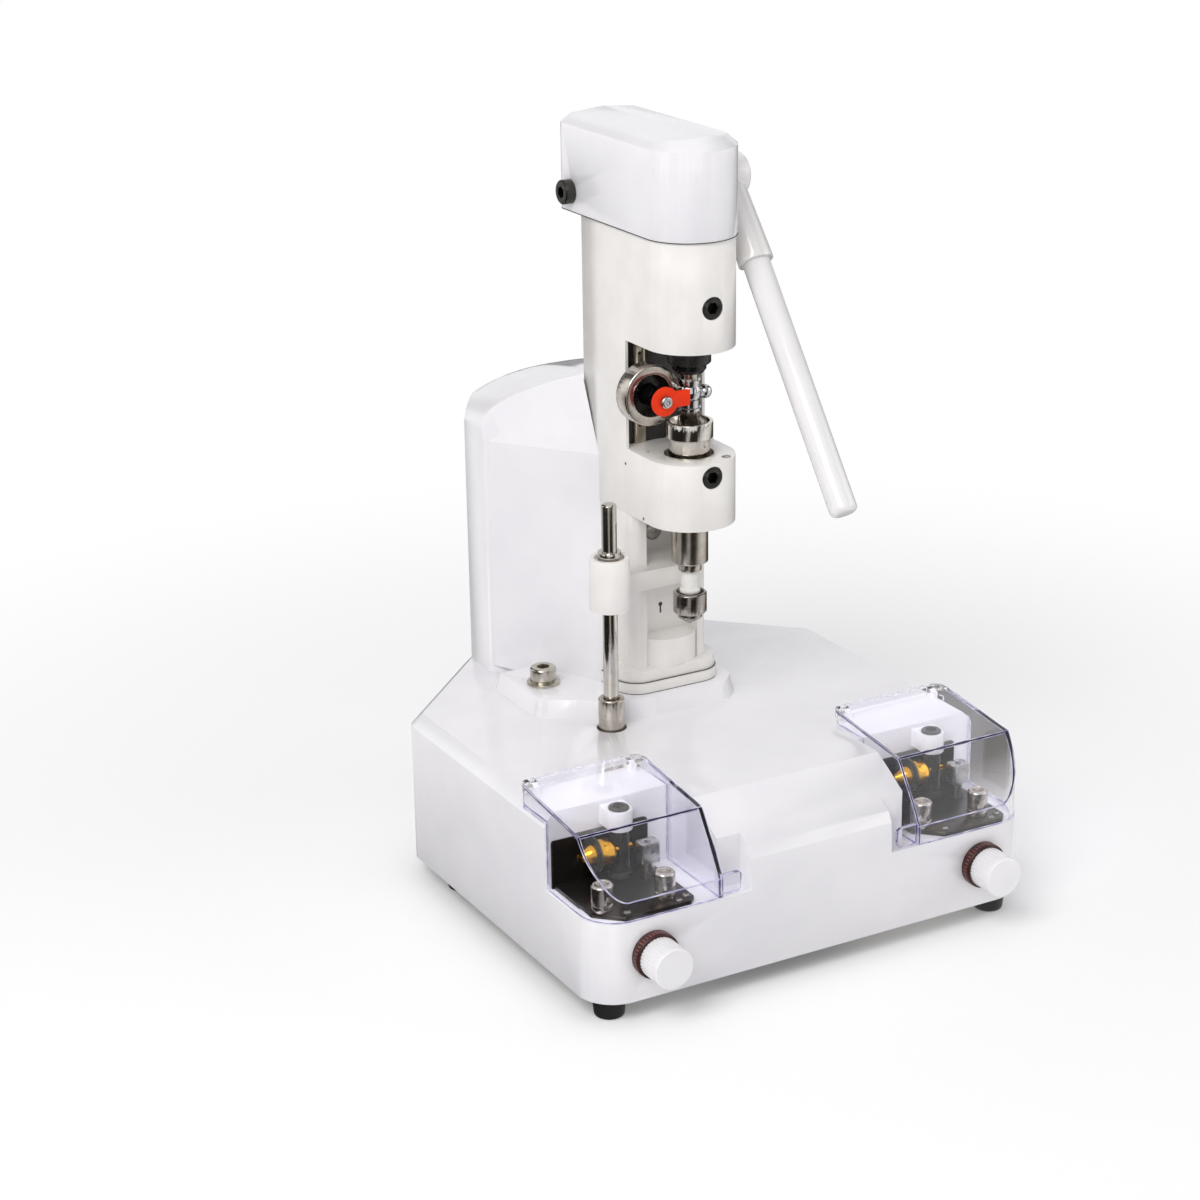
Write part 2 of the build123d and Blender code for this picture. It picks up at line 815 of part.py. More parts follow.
def along_lever(start, end, root, tip):
    """Round piece along the lever, from the cross shaft towards the tip."""
    straight = rod(0, 0, start, end, root)
    piece = straight if root == tip else Pos(0, 0, (start + end) / 2) * Cone(root / 2, tip / 2, end - start)
    return lever_axis * piece


def lever_hub():
    """Hub of the lever on the cross shaft, with its socket screw hole."""
    left = lever_x - lever_hub_length / 2
    hub = cross_rod(left, left + lever_hub_length, lever_y, lever_z, lever_hub_diameter)
    hub = chamfer(hub.edges().filter_by(GeomType.CIRCLE), 1.5)
    return hub - cross_rod(0, 90, lever_y, lever_z, shaft_diameter)


def lever_sleeve():
    """Tapered sleeve that joins the hub and the grip."""
    start = lever_hub_diameter / 2 - 4
    sleeve = along_lever(start, lever_sleeve_length, lever_sleeve_root, lever_sleeve_diameter)
    sleeve -= cross_rod(0, 90, lever_y, lever_z, lever_hub_diameter)
    socket = lever_sleeve_length - lever_grip_socket
    return sleeve - along_lever(socket, lever_sleeve_length + 1, lever_grip_diameter, lever_grip_diameter)


def lever_grip():
    """Moulded grip with a rounded end."""
    grip = rod(0, 0, lever_sleeve_length - 14, lever_length, lever_grip_diameter)
    grip = fillet(grip.edges().group_by(Axis.Z)[-1], lever_grip_round)
    return lever_axis * grip


def lever_shaft():
    """Cross shaft that carries the hub and the pinion."""
    left = -head_radius + wall + 0.5
    return cross_rod(left, lever_x + lever_hub_length / 2, lever_y, lever_z, shaft_diameter)


def tooth_flank(radius):
    """Half angle of a pinion tooth at a radius, with an involute flank."""
    pressure = math.radians(gear_pressure)
    base_radius = pitch_radius * math.cos(pressure)
    involute_pitch = math.tan(pressure) - pressure
    half_tooth = math.pi * gear_tooth_share / gear_teeth
    if radius <= base_radius:
        return half_tooth + involute_pitch
    local = math.acos(base_radius / radius)
    return half_tooth + involute_pitch - (math.tan(local) - local)


def drive_pinion():
    """Spur pinion on the cross shaft."""
    root = pitch_radius - gear_dedendum * gear_module
    tip = pitch_radius + gear_addendum * gear_module
    radii = [root, pitch_radius - 1.2, pitch_radius, tip]
    points = []
    for tooth in range(gear_teeth):
        middle = 2 * math.pi * tooth / gear_teeth
        flank = [(r, middle - tooth_flank(r)) for r in radii]
        flank += [(r, middle + tooth_flank(r)) for r in reversed(radii)]
        points += [(r * math.cos(a), r * math.sin(a)) for r, a in flank]
    wheel = extrude(make_face(Polyline(*points, close=True)), amount=gear_width / 2, both=True)
    wheel += rod(0, 0, -gear_width / 2 - 4, gear_width / 2 + 4, shaft_diameter + 8)
    wheel -= rod(0, 0, -gear_width, gear_width, shaft_diameter)
    return Pos(0, lever_y, lever_z) * Rot(0, 90, 0) * Rot(0, 0, 90) * wheel


def feed_rack():
    """Feed rod with a rack cut in its upper end; the lever lowers it into the quill."""
    pitch = math.pi * gear_module
    tooth = pitch * gear_tooth_share
    slope = math.tan(math.radians(gear_pressure))
    tip = gear_addendum * gear_module
    root = -gear_dedendum * gear_module
    outline = [(spindle_y - rack_back, rack_bottom)]
    first = math.ceil((rack_bottom - lever_z) / pitch)
    last = math.floor((rack_top - lever_z - pitch / 2) / pitch)
    for step in range(first, last):
        middle = lever_z + (step + 0.5) * pitch
        for depth, side in ((root, -1), (tip, -1), (tip, 1), (root, 1)):
            outline.append((pitch_y + depth, middle + side * (tooth / 2 - depth * slope)))
    outline += [(pitch_y + root, rack_top), (spindle_y - rack_back, rack_top)]
    outline.insert(1, (pitch_y + root, rack_bottom))
    bar = side_profile(outline, rack_width / 2)
    return bar + rod(0, spindle_y, quill_cap_top - quill_cap_web - 8, rack_bottom + 1, feed_rod_diameter)


def feed_bush():
    """Black stepped bush of the feed rod under the upper block."""
    bore = feed_rod_diameter / 2 + running_fit
    outline = [(bore, feed_bush_bottom), (feed_bush_diameter / 2 - 2, feed_bush_bottom)]
    outline += [(feed_bush_diameter / 2, feed_bush_bottom + 2.5), (feed_bush_diameter / 2, feed_bush_step)]
    outline += [(feed_bush_flange / 2 - 1, feed_bush_step), (feed_bush_flange / 2, feed_bush_step + 1)]
    outline += [(feed_bush_flange / 2, throat_top), (feed_bush_diameter / 2, throat_top)]
    top = rack_bottom - feed_travel - 4
    return turned(outline + [(feed_bush_diameter / 2, top), (bore, top)], 0, spindle_y)


def feed_clevis():
    """Polished collar on the feed rod with a cross bar and a domed nut."""
    collar = turned([
        (feed_rod_diameter / 2, clevis_bottom), (clevis_diameter / 2 - 0.1, clevis_bottom),
        (clevis_diameter / 2, clevis_bottom + 1), (clevis_diameter / 2, clevis_top - 1),
        (clevis_diameter / 2 - 0.1, clevis_top), (feed_rod_diameter / 2, clevis_top),
    ], 0, spindle_y)
    half = clevis_pin_diameter / 2
    bar = cross_rod(0, clevis_pin_reach - half, spindle_y, clevis_pin_z, clevis_pin_diameter)
    bar += Pos(clevis_pin_reach - half, spindle_y, clevis_pin_z) * Sphere(half)
    bar -= rod(0, spindle_y, clevis_bottom - 5, clevis_top + 5, feed_rod_diameter)
    return collar + bar


def quill_bush():
    """Bush in the lower block: wide above for the quill cap, close below on the quill."""
    narrow = quill_diameter / 2 + running_fit
    wide = quill_cap_diameter / 2 + gap
    step = quill_cap_bottom - feed_travel - 1.5
    outer = quill_hole / 2
    return turned([(narrow, head_bottom), (outer, head_bottom), (outer, throat_bottom + 0.6),
                   (wide, throat_bottom + 0.6), (wide, step), (narrow, step)], 0, spindle_y)


def quill_tube():
    """Quill: tube with a closed lower end, bored for the spindle shaft."""
    outer = quill_diameter / 2
    inner = outer - quill_wall
    hole = spindle_shaft / 2 + gap
    floor = quill_bottom + 4
    return turned([(hole, quill_bottom), (outer - 0.6, quill_bottom), (outer, quill_bottom + 0.6),
                   (outer, quill_top), (inner, quill_top), (inner, floor), (hole, floor)], 0, spindle_y)


def quill_cap():
    """Polished two-step cap screwed on top of the quill, hollow above."""
    outer = quill_cap_diameter / 2
    band = quill_cap_band / 2
    step = quill_cap_step
    web_top = quill_cap_top - quill_cap_web
    feed = feed_rod_diameter / 2
    return turned([(quill_diameter / 2, quill_cap_bottom), (band - 0.5, quill_cap_bottom),
                   (band, quill_cap_bottom + 0.5), (band, step), (outer - 0.5, step), (outer, step + 0.5),
                   (outer, quill_cap_top), (quill_cap_bore / 2, quill_cap_top),
                    (quill_cap_bore / 2, web_top),
                   (feed, web_top), (feed, quill_top), (quill_diameter / 2, quill_top)], 0, spindle_y)


def quill_motor():
    """Slim direct-current motor inside the quill, bored for the end of the spindle shaft."""
    outer = quill_diameter / 2 - quill_wall
    bore = spindle_shaft / 2 + running_fit
    low = quill_bottom + 8
    return turned([(bore, low), (outer - 2, low), (outer, low + 3), (outer, quill_top - 3),
                   (0, quill_top - 3), (0, low + 32), (bore, low + 32)], 0, spindle_y)


def spindle_collar():
    """Spindle shaft with the collar under the quill."""
    shaft = spindle_shaft / 2
    collar = spindle_collar_diameter / 2
    return turned([(0, chuck_top - 6), (shaft, chuck_top - 6), (shaft, spindle_collar_bottom),
                   (collar - 0.4, spindle_collar_bottom), (collar, spindle_collar_bottom + 0.4),
                   (collar, quill_bottom - gap), (shaft, quill_bottom - gap),
                   (shaft, quill_bottom + spindle_seat),
                   (0, quill_bottom + spindle_seat)], 0, spindle_y)


def insulating_sleeve():
    """White insulating sleeve between the collar and the chuck."""
    radius = sleeve_diameter / 2
    shaft = spindle_shaft / 2
    return turned([(shaft, chuck_top), (radius + 1, chuck_top), (radius + 1, sleeve_bottom),
                   (radius, sleeve_bottom + 1.5), (radius, spindle_collar_bottom),
                   (shaft, spindle_collar_bottom)], 0, spindle_y)


def chuck_body():
    """Drill chuck body with a sunk top."""
    outer = chuck_diameter / 2
    return turned([(0, chuck_bottom), (outer - 0.8, chuck_bottom), (outer, chuck_bottom + 0.8),
                   (outer, chuck_top - 0.8), (outer - 0.8, chuck_top), (outer - 2, chuck_top),
                   (outer - 2.6, chuck_top - 3), (sleeve_diameter / 2 + 1, chuck_top - 3),
                   (sleeve_diameter / 2 + 1, chuck_top), (spindle_shaft / 2, chuck_top),
                   (spindle_shaft / 2, chuck_top - 6), (0, chuck_top - 6)], 0, spindle_y)


def chuck_nose():
    """Stepped nose of the chuck with its jaw opening."""
    step = chuck_step_diameter / 2
    jaws = jaw_circle / 2
    mouth = chuck_nose_bottom - 1.6
    return turned([(jaws, chuck_bottom), (jaws, mouth), (jaws + 1, mouth),
                   (jaws + 1.6, chuck_nose_bottom), (step - 0.6, chuck_nose_bottom),
                   (step, chuck_nose_bottom + 0.6), (step, chuck_bottom)], 0, spindle_y)


def chuck_jaws():
    """Three jaws in the nose of the chuck."""
    jaws = []
    cone = turned([(0, jaw_bottom), (jaw_circle / 2 - 1.6, jaw_bottom), (jaw_circle / 2, jaw_bottom + 2),
                   (jaw_circle / 2, chuck_bottom), (0, chuck_bottom)])
    sector = make_face(Polyline((0.5, 0.3), (8, 4.3), (8, -4.3), (0.5, -0.3), close=True))
    for turn in range(3):
        jaw = cone & Rot(0, 0, 120 * turn) * slab(sector, 0, head_top)
        jaws.append(Pos(0, spindle_y, 0) * jaw)
    return jaws


def stop_ring():
    """Heavy stop ring, with bevelled edges, that turns about Y."""
    outer = ring_diameter / 2
    inner = ring_bore / 2
    face = turned([(inner, 0), (inner + 0.6, -0.6), (outer - 0.8, -0.6), (outer, 0.2), (outer, ring_width),
                   (inner, ring_width)])
    return Pos(ring_x, ring_front, ring_z) * Rot(-90, 0, 0) * face


def stop_shaft():
    """Fixed axle of the stop ring: spigot in the throat plate, hub in the ring and tapered nose."""
    hub = ring_bore / 2 - running_fit
    rear = throat_back + throat_recess - 2 - ring_front
    nose = stop_shaft_end - ring_front
    axle = stop_shaft_diameter / 2
    spigot = stop_spigot / 2
    outline = [
        (0, nose), (axle, nose), (axle, nose + 4), (axle + 2.6, ring_width / 2), (hub, ring_width / 2),
    ]
    outline += [(hub, ring_width + gap), (hub + 2.4, ring_width + gap), (hub + 2.4, ring_width + 2)]
    outline += [(spigot, ring_width + 2), (spigot, rear), (0, rear)]
    return Pos(ring_x, ring_front, ring_z) * Rot(-90, 0, 0) * turned(outline)


def stop_tab():
    """Red tab with a round eye and a square tongue that points at the feed rod."""
    eye = Pos(ring_x, ring_z) * Circle(tab_eye_diameter / 2)
    tongue_length = tab_tongue_end - ring_x
    tongue = Pos(ring_x + tongue_length / 2, ring_z + 0.6) * Rectangle(tongue_length, tab_tongue_width)
    plan = eye + tongue
    plan = fillet(plan.vertices().group_by(Axis.X)[-1], 1.0)
    plan -= Pos(ring_x, ring_z) * Circle(tab_screw_diameter / 4)
    plate = extrude(Plane.XZ * plan, amount=tab_thickness / 2, both=True)
    return Pos(0, stop_shaft_end - tab_thickness / 2, 0) * plate


def tab_screw():
    """Button screw that holds the tab on the end of its shaft."""
    face = stop_shaft_end - tab_thickness
    head = level_rod(ring_x, face - 3, face, ring_z, tab_screw_diameter)
    head = fillet(head.edges().group_by(Axis.Y)[0], 1.4)
    return head - Pos(ring_x, face - 3, ring_z) * Rot(90, 0, 0) * hex_hole(3, 2)



def station_table():
    """Blackened steel table of the left station, with cut front corners."""
    right = table_left + table_width
    rear = recess_depth - panel_thickness - 2 * gap
    front = table_front
    outline = make_face(Polyline((table_left, front), (right, front), (right, rear), (table_left, rear),
                                 close=True))
    for side, cut in zip((0, -1), table_corners):
        outline = chamfer(outline.vertices().group_by(Axis.Y)[0].sort_by(Axis.X)[side], cut)
    return slab(outline, recess_floor, table_top)


def station_post():
    """Black post of the left station, from its table up into the white boss."""
    post = rod(post_x, post_y, table_top, boss_top - 4, post_diameter)
    post += rod(post_x, post_y, table_top, table_top + 4, post_diameter + 2.5)
    bore = collet_axle + 2 * running_fit
    return post - cross_rod(post_x - post_diameter, post_x + post_diameter, collet_y, collet_z, bore)


def post_cap():
    """Black socket cap on top of the post."""
    radius = post_diameter / 2
    rim = post_cap_diameter / 2
    low = boss_top - 4
    cap = turned([(0, low), (radius, low), (radius, boss_top), (rim, boss_top), (rim, boss_top + 1),
                  (rim - 0.6, boss_top + 1.6), (0, boss_top + 1.6)], post_x, post_y)
    return cap - Pos(post_x, post_y, boss_top + 1.6) * hex_hole(plug_hex, 4)


def roller_post(x, y):
    """Polished post with a grooved waist and a sunk top."""
    radius = roller_diameter / 2
    top = table_top + roller_height
    groove = table_top + 4
    return turned([(0, table_top), (radius, table_top), (radius, groove), (radius - 0.7, groove + 0.3),
                   (radius - 0.7, groove + 1.2), (radius, groove + 1.5),
                   (radius, top - 1), (radius - 1, top),
                   (radius - 2.5, top), (radius - 3, top - 2), (0, top - 2)], x, y)


def stop_block():
    """Clear stop block on its short stem."""
    width, depth, height = block_size
    bottom = table_top + block_stem_height
    body = block(block_x - width / 2, block_x + width / 2, block_y - depth / 2, block_y + depth / 2,
                 bottom, bottom + height)
    body = chamfer(body.edges().filter_by(Axis.Z), 1.5)
    body = body + rod(block_x, block_y, table_top, bottom, block_stem_diameter)
    return body - rod(block_x, block_y, bottom + height - 4, bottom + height + 1, 4)


def back_panel():
    """Dark panel on the back wall of the left recess."""
    right = panel_left + panel_width
    panel = block(panel_left, right, recess_depth - panel_thickness, recess_depth, recess_floor, panel_top)
    return fillet(panel.edges().filter_by(Axis.Y).group_by(Axis.Z)[-1], 2)


def collet():
    """Gold collet of the left station on its axle, turning about X beside the post."""
    right = post_x - post_diameter / 2 - 1
    left = right - collet_length
    radius = collet_diameter / 2
    axle = collet_axle / 2
    body = turned([(axle, 0), (radius - 1, 0), (radius, 1), (radius, collet_length - 3),
                   (radius - 2.5, collet_length), (axle, collet_length)])
    for flat in range(6):
        side = Rot(0, 0, 60 * flat) * Pos(radius + 4.2, 0, collet_length - 3) * Box(10, 20, 8)
        body -= side
    reach = collet_length + post_diameter + 1
    core = rod(0, 0, -cutter_thickness - cutter_tip_length, 0, 2 * axle) + rod(0, 0, 0, reach, 2 * axle)
    face = -cutter_thickness
    cone = turned([(axle, face), (radius - 2, face), (radius - 3, face - 3),
                   (axle, -cutter_thickness - cutter_tip_length)])
    return Pos(left, collet_y, collet_z) * Rot(0, 90, 0) * (body + core + cone)


def cutter():
    """Thin black grooving disc between the collet and its cone."""
    right = post_x - post_diameter / 2 - 1 - collet_length
    disc = cross_rod(right - cutter_thickness, right, collet_y, collet_z, cutter_diameter)
    return disc - cross_rod(right - 10, right + 10, collet_y, collet_z, collet_axle)


def cover_profile(drop):
    """Side outline of a cover, drawn in by its wall; drop lowers its open edges below the rim."""
    crease_y, crease_z = cover_crease
    rear = hinge_y + hinge_overhang - drop
    front = [(y + drop, z - drop * 0.4) for y, z in cover_front]
    floor = recess_floor + gap - drop * 4
    step = recess_depth - 2 * gap
    low_deck = deck_top + gap - drop * 4
    return [
        (drop, floor), *front, (crease_y + 0.4 * drop, crease_z - drop), (rear, cover_rear_top - drop),
        (rear, hinge_z - hinge_drop - drop * 4), (hinge_y + 1, low_deck), (step, low_deck), (step, floor),
    ]


def cover_plan(inset):
    """Plan of the left cover with its rounded corners."""
    left = -cover_outer + inset
    right = left + cover_width - 2 * inset
    rear = hinge_y + hinge_overhang - inset
    plan = make_face(Polyline((left, inset), (right, inset), (right, rear), (left, rear), close=True))
    plan = fillet(plan.vertices().group_by(Axis.Y)[-1], cover_rear_radius - inset)
    return fillet(plan.vertices().group_by(Axis.Y)[0].sort_by(Axis.X)[:1], cover_front_radius - inset)


def cover():
    """Left clear cover: thin moulded hood with a lift tab, turning on its rear hinge pins."""
    outer = side_profile(cover_profile(0), base_width) & slab(cover_plan(0), 0, head_top)
    inner = side_profile(cover_profile(cover_wall), base_width) & slab(cover_plan(cover_wall), 0, head_top)
    hood = outer - inner
    low = recess_floor + 1
    end = tab_reach - cover_inner
    tab = block(-cover_inner - 0.5, end, tab_front, tab_front + tab_sheet, low, low + tab_height)
    tab = fillet(tab.edges().filter_by(Axis.Y).group_by(Axis.X)[-1], 3)
    hood += tab + cover_skirt()
    slot_top = hinge_z + hinge_lug_radius + gap
    for left in lug_places():
        right = left + hinge_lug_width + gap
        hood -= block(left - gap, right, hinge_y, hinge_y + 2 * hinge_overhang, deck_top, slot_top)
    bore = hinge_pin_diameter + 2 * running_fit
    return hood - cross_rod(-half_width - 5, 0, hinge_y, hinge_z, bore)


def cover_skirt():
    """Lower edge of the cover's outer wall, cut to follow the bevel of the deck."""
    rim = deck_top - deck_bevel + cover_inset + 1.5 * gap
    section = make_face(Polyline(
        (-cover_outer, rim), (-cover_outer + cover_wall, rim + cover_wall),
        (-cover_outer + cover_wall, hinge_z), (-cover_outer, hinge_z), close=True,
    ))
    rear = hinge_y + hinge_overhang - cover_rear_radius
    front = recess_depth - 2 * gap
    return Pos(0, rear, 0) * (Plane.XZ * extrude(section, amount=rear - front))


def knob():
    """Fluted left knob with a plain disc face and a moulded-in spindle."""
    radius = knob_diameter / 2
    face = -knob_reach
    rear = -dial_thickness - gap
    body = level_rod(0, face, rear, 0, knob_diameter)
    body = fillet(body.edges().group_by(Axis.Y)[0], 1.2)
    centre = radius + knob_flute_width / 2 - knob_flute_depth
    flute = level_rod(centre, face + knob_rim, rear + 1, 0, knob_flute_width)
    flutes = [Rot(0, 360 * turn / knob_flutes, 0) * flute for turn in range(knob_flutes)]
    body = body - flutes
    spindle = level_rod(0, rear - 1, wall + control_length - 2, 0, knob_spindle)
    return Pos(-knob_x, 0, knob_z) * (body + spindle)


def dial_ring():
    """Graduated ring fixed to the panel behind the knob."""
    ring = level_rod(-knob_x, -dial_thickness, 0, knob_z, dial_diameter)
    ring = chamfer(ring.edges().group_by(Axis.Y)[0], 0.8)
    return ring - level_rod(-knob_x, -40, 1, knob_z, knob_spindle + 2 * gap)


def speed_control():
    """Rotary speed control behind the panel, bored for the spindle of its knob."""
    body = level_rod(-knob_x, wall, wall + control_length, knob_z, control_diameter)
    body += level_rod(-knob_x, 0, wall, knob_z, knob_spindle + 3)
    end = wall + control_length - 1.5
    return body - level_rod(-knob_x, -1, end, knob_z, knob_spindle + 2 * running_fit)


def station_motor():
    """Small motor under the left station, hung from the floor of the recess."""
    top = recess_floor - wall
    end = top - motor_length
    boss = rod(post_x, post_y, end - motor_boss, end, motor_boss_diameter)
    return rod(post_x, post_y, end, top, motor_diameter) + boss


def power_transformer():
    """Power transformer on the bottom plate: laminated core, winding and two feet."""
    floor = base_bottom + plate_thickness
    width, depth, height = transformer_core
    across, along, tall = transformer_winding
    reach, foot, sheet = transformer_feet
    lift = (height - tall) / 2
    front = transformer_y - depth / 2
    core = block(-width / 2, width / 2, front, front + depth, floor, floor + height)
    front = transformer_y - along / 2
    winding = block(-across / 2, across / 2, front, front + along, floor + lift, floor + lift + tall)
    winding = fillet(winding.edges().filter_by(Axis.Z), winding_corner)
    front = transformer_y - foot / 2
    feet = block(-reach / 2, reach / 2, front, front + foot, floor, floor + sheet)
    return core + winding + feet


tables = both_stations(station_table())
covers = both_sides(cover())
knobs = [knob(), Pos(2 * knob_x, 0, 0) * knob()]
collets = both_stations(collet())
cutters = both_stations(cutter())

pieces = {
    "base_shell": base_shell(),
    "bottom_plate": bottom_plate(),
    "rubber_feet": group(rubber_foot(x, y) for x, y in foot_places),
    "foot_screws": group(foot_screw(x, y) for x, y in foot_places),
    "lock_screw": lock_screw(),
    "lock_washer": lock_washer(),
    "hinge_pins": group(hinge_pins()),
    "column_plinth": column_plinth(),
    "column_frame": column_frame(),
    "guide_arm": guide_arm(),
    "guide_bushes": group(guide_bushes()),
    "guide_rod": guide_rod(),
    "rod_collar": rod_collar(),
    "head_casting": head_casting(),
    "throat_plate": throat_plate(),
    "rail_strip": rail_strip(),
    "head_cap": head_cap(),
    "lever_bushes": group(lever_bushes()),
    "socket_plugs": group(socket_plugs()),
    "lever_hub": lever_hub(),
    "lever_sleeve": lever_sleeve(),
    "lever_grip": lever_grip(),
    "lever_shaft": lever_shaft(),
    "drive_pinion": drive_pinion(),
    "feed_rack": feed_rack(),
    "feed_bush": feed_bush(),
    "feed_clevis": feed_clevis(),
    "quill_bush": quill_bush(),
    "quill_tube": quill_tube(),
    "quill_cap": quill_cap(),
    "quill_motor": quill_motor(),
    "spindle_collar": spindle_collar(),
    "insulating_sleeve": insulating_sleeve(),
    "chuck_body": chuck_body(),
    "chuck_nose": chuck_nose(),
    "chuck_jaws": group(chuck_jaws()),
    "stop_ring": stop_ring(),
    "stop_shaft": stop_shaft(),
    "stop_tab": stop_tab(),
    "tab_screw": tab_screw(),
    "table_left": tables[0],
    "table_right": tables[1],
    "station_posts": group(both_stations(station_post())),
    "post_caps": group(both_stations(post_cap())),
    "roller_posts": group(both_stations(group(roller_post(x, y) for x, y in roller_places))),
    "stop_blocks": group(both_stations(stop_block())),
    "back_panels": group(both_stations(back_panel())),
    "collet_left": collets[0],
    "collet_right": collets[1],
    "cutter_left": cutters[0],
    "cutter_right": cutters[1],
    "cover_left": covers[0],
    "cover_right": covers[1],
    "knob_left": knobs[0],
    "knob_right": knobs[1],
    "dial_rings": group(both_sides(dial_ring())),
    "speed_controls": group(both_sides(speed_control())),
    "station_motors": group(both_stations(station_motor())),
    "power_transformer": power_transformer(),
}

os.makedirs("parts", exist_ok=True)
for name, piece in pieces.items():
    export_step(Pos(0, -middle_y, 0) * piece, f"parts/{name}.step")
print(len(pieces), "pieces")
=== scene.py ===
import math

import bmesh
import bpy
from bpy.props import FloatProperty, FloatVectorProperty, IntProperty, PointerProperty
from mathutils import Matrix, Vector


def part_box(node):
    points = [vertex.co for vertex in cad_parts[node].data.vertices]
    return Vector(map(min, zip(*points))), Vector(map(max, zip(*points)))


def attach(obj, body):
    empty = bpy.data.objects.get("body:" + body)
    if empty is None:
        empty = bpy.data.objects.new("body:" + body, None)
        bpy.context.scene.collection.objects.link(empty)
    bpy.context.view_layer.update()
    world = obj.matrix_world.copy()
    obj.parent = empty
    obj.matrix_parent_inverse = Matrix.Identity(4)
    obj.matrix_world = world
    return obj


bl_info = {
    "name": "Lens drilling machine",
    "version": (1, 0, 0),
    "blender": (4, 5, 0),
    "location": "View3D > Sidebar > Lens drill",
    "description": "Dresses the lens drilling machine's frame with materials and small fittings",
    "category": "Object",
}

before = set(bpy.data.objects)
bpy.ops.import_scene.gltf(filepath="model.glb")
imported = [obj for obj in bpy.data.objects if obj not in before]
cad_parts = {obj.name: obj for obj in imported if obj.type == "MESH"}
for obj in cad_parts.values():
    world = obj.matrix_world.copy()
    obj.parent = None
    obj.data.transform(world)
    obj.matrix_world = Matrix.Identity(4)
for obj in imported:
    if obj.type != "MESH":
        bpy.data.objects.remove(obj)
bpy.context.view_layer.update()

MM = 0.001
# Vertices this close, in metres, are one vertex.
WELD_GAP = 0.00001
# From the drawing's front panel back to the frame's origin, in millimetres.
DRAWING_MIDDLE = 159.5
# How far the camera's heading is turned from +Y, and the level directions to its right and ahead of it.
CAMERA_YAW = math.radians(28.8)
CAMERA_RIGHT = (math.cos(CAMERA_YAW), -math.sin(CAMERA_YAW), 0.0)
CAMERA_AHEAD = (math.sin(CAMERA_YAW), math.cos(CAMERA_YAW), 0.0)


def middle(node):
    """The middle of a CAD node's box."""
    low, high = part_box(node)
    return (low + high) / 2


def frame_mm(x, y, z):
    """A place given in the drawing's millimetres, with Y counted from the front panel, in the frame."""
    return Vector((x, y - DRAWING_MIDDLE, z)) * MM


# ---- Materials -------------------------------------------------------------------------------


def linear(hex_colour):
    """An sRGB hex colour as linear RGBA."""
    channels = [int(hex_colour[i:i + 2], 16) / 255 for i in (0, 2, 4)]
    return [c / 12.92 if c <= 0.04045 else ((c + 0.055) / 1.055) ** 2.4 for c in channels] + [1.0]


def add_node(tree, kind, inputs=None, **settings):
    """Adds a node. Inputs go by socket name or number: each a value, or another node's output to link."""
    made = tree.nodes.new(kind)
    for name, value in settings.items():
        setattr(made, name, value)
    for socket, value in (inputs or {}).items():
        if isinstance(value, bpy.types.NodeSocket):
            tree.links.new(value, made.inputs[socket])
        else:
            made.inputs[socket].default_value = value
    return made


def new_material(name, **sockets):
    """A material with only its principled shader, and that shader's sockets set."""
    material = bpy.data.materials.new(name)
    material.use_nodes = True
    tree = material.node_tree
    tree.nodes.clear()
    shader = add_node(tree, "ShaderNodeBsdfPrincipled")
    for socket, value in sockets.items():
        shader.inputs[socket.replace("_", " ")].default_value = value
    add_node(tree, "ShaderNodeOutputMaterial", {"Surface": shader.outputs[0]})
    return material, tree, shader


def place_on(tree, scale=(1, 1, 1), centre=(0, 0, 0)):
    """Object coordinates about a centre, stretched by a scale."""
    spot = add_node(tree, "ShaderNodeTexCoord").outputs["Object"]
    moved = add_node(tree, "ShaderNodeVectorMath", {0: spot, 1: tuple(centre)}, operation="SUBTRACT")
    return add_node(tree, "ShaderNodeVectorMath", {0: moved.outputs[0], 1: tuple(scale)},
                    operation="MULTIPLY").outputs[0]


def ramp(tree, factor, stops):
    """A colour ramp of (position, hex colour) stops."""
    made = add_node(tree, "ShaderNodeValToRGB", {0: factor})
    band = made.color_ramp
    while len(band.elements) < len(stops):
        band.elements.new(0.5)
    for element, (position, colour) in zip(band.elements, stops):
        element.position = position
        element.color = linear(colour)
    return made.outputs[0]


def spread(tree, factor, low, high):
    """A factor from 0 to 1 turned to a number between low and high."""
    return add_node(tree, "ShaderNodeMapRange", {0: factor, 3: low, 4: high}).outputs[0]


def grain(tree, vector, size_mm, detail=2.0):
    """Noise whose lumps are about size_mm across."""
    return add_node(tree, "ShaderNodeTexNoise", {"Vector": vector, "Scale": 1 / (size_mm * MM),
                                                "Detail": detail}).outputs[0]


def add_bump(tree, shader, height, strength, depth_mm):
    """Bumps the shader with a height of that depth."""
    bump = add_node(tree, "ShaderNodeBump", {"Strength": strength, "Distance": depth_mm * MM,
                                            "Height": height})
    tree.links.new(bump.outputs[0], shader.inputs["Normal"])


def worn_edges(tree, base, edge, amount):
    """Base colour output that turns to the edge colour where the surface is convex."""
    geometry = add_node(tree, "ShaderNodeNewGeometry").outputs["Pointiness"]
    factor = add_node(tree, "ShaderNodeMapRange", {0: geometry, 1: 0.515, 2: 0.56, 3: 0.0, 4: amount})
    return add_node(tree, "ShaderNodeMix", {0: factor.outputs[0], 6: base, 7: linear(edge)},
                    data_type="RGBA").outputs[2]


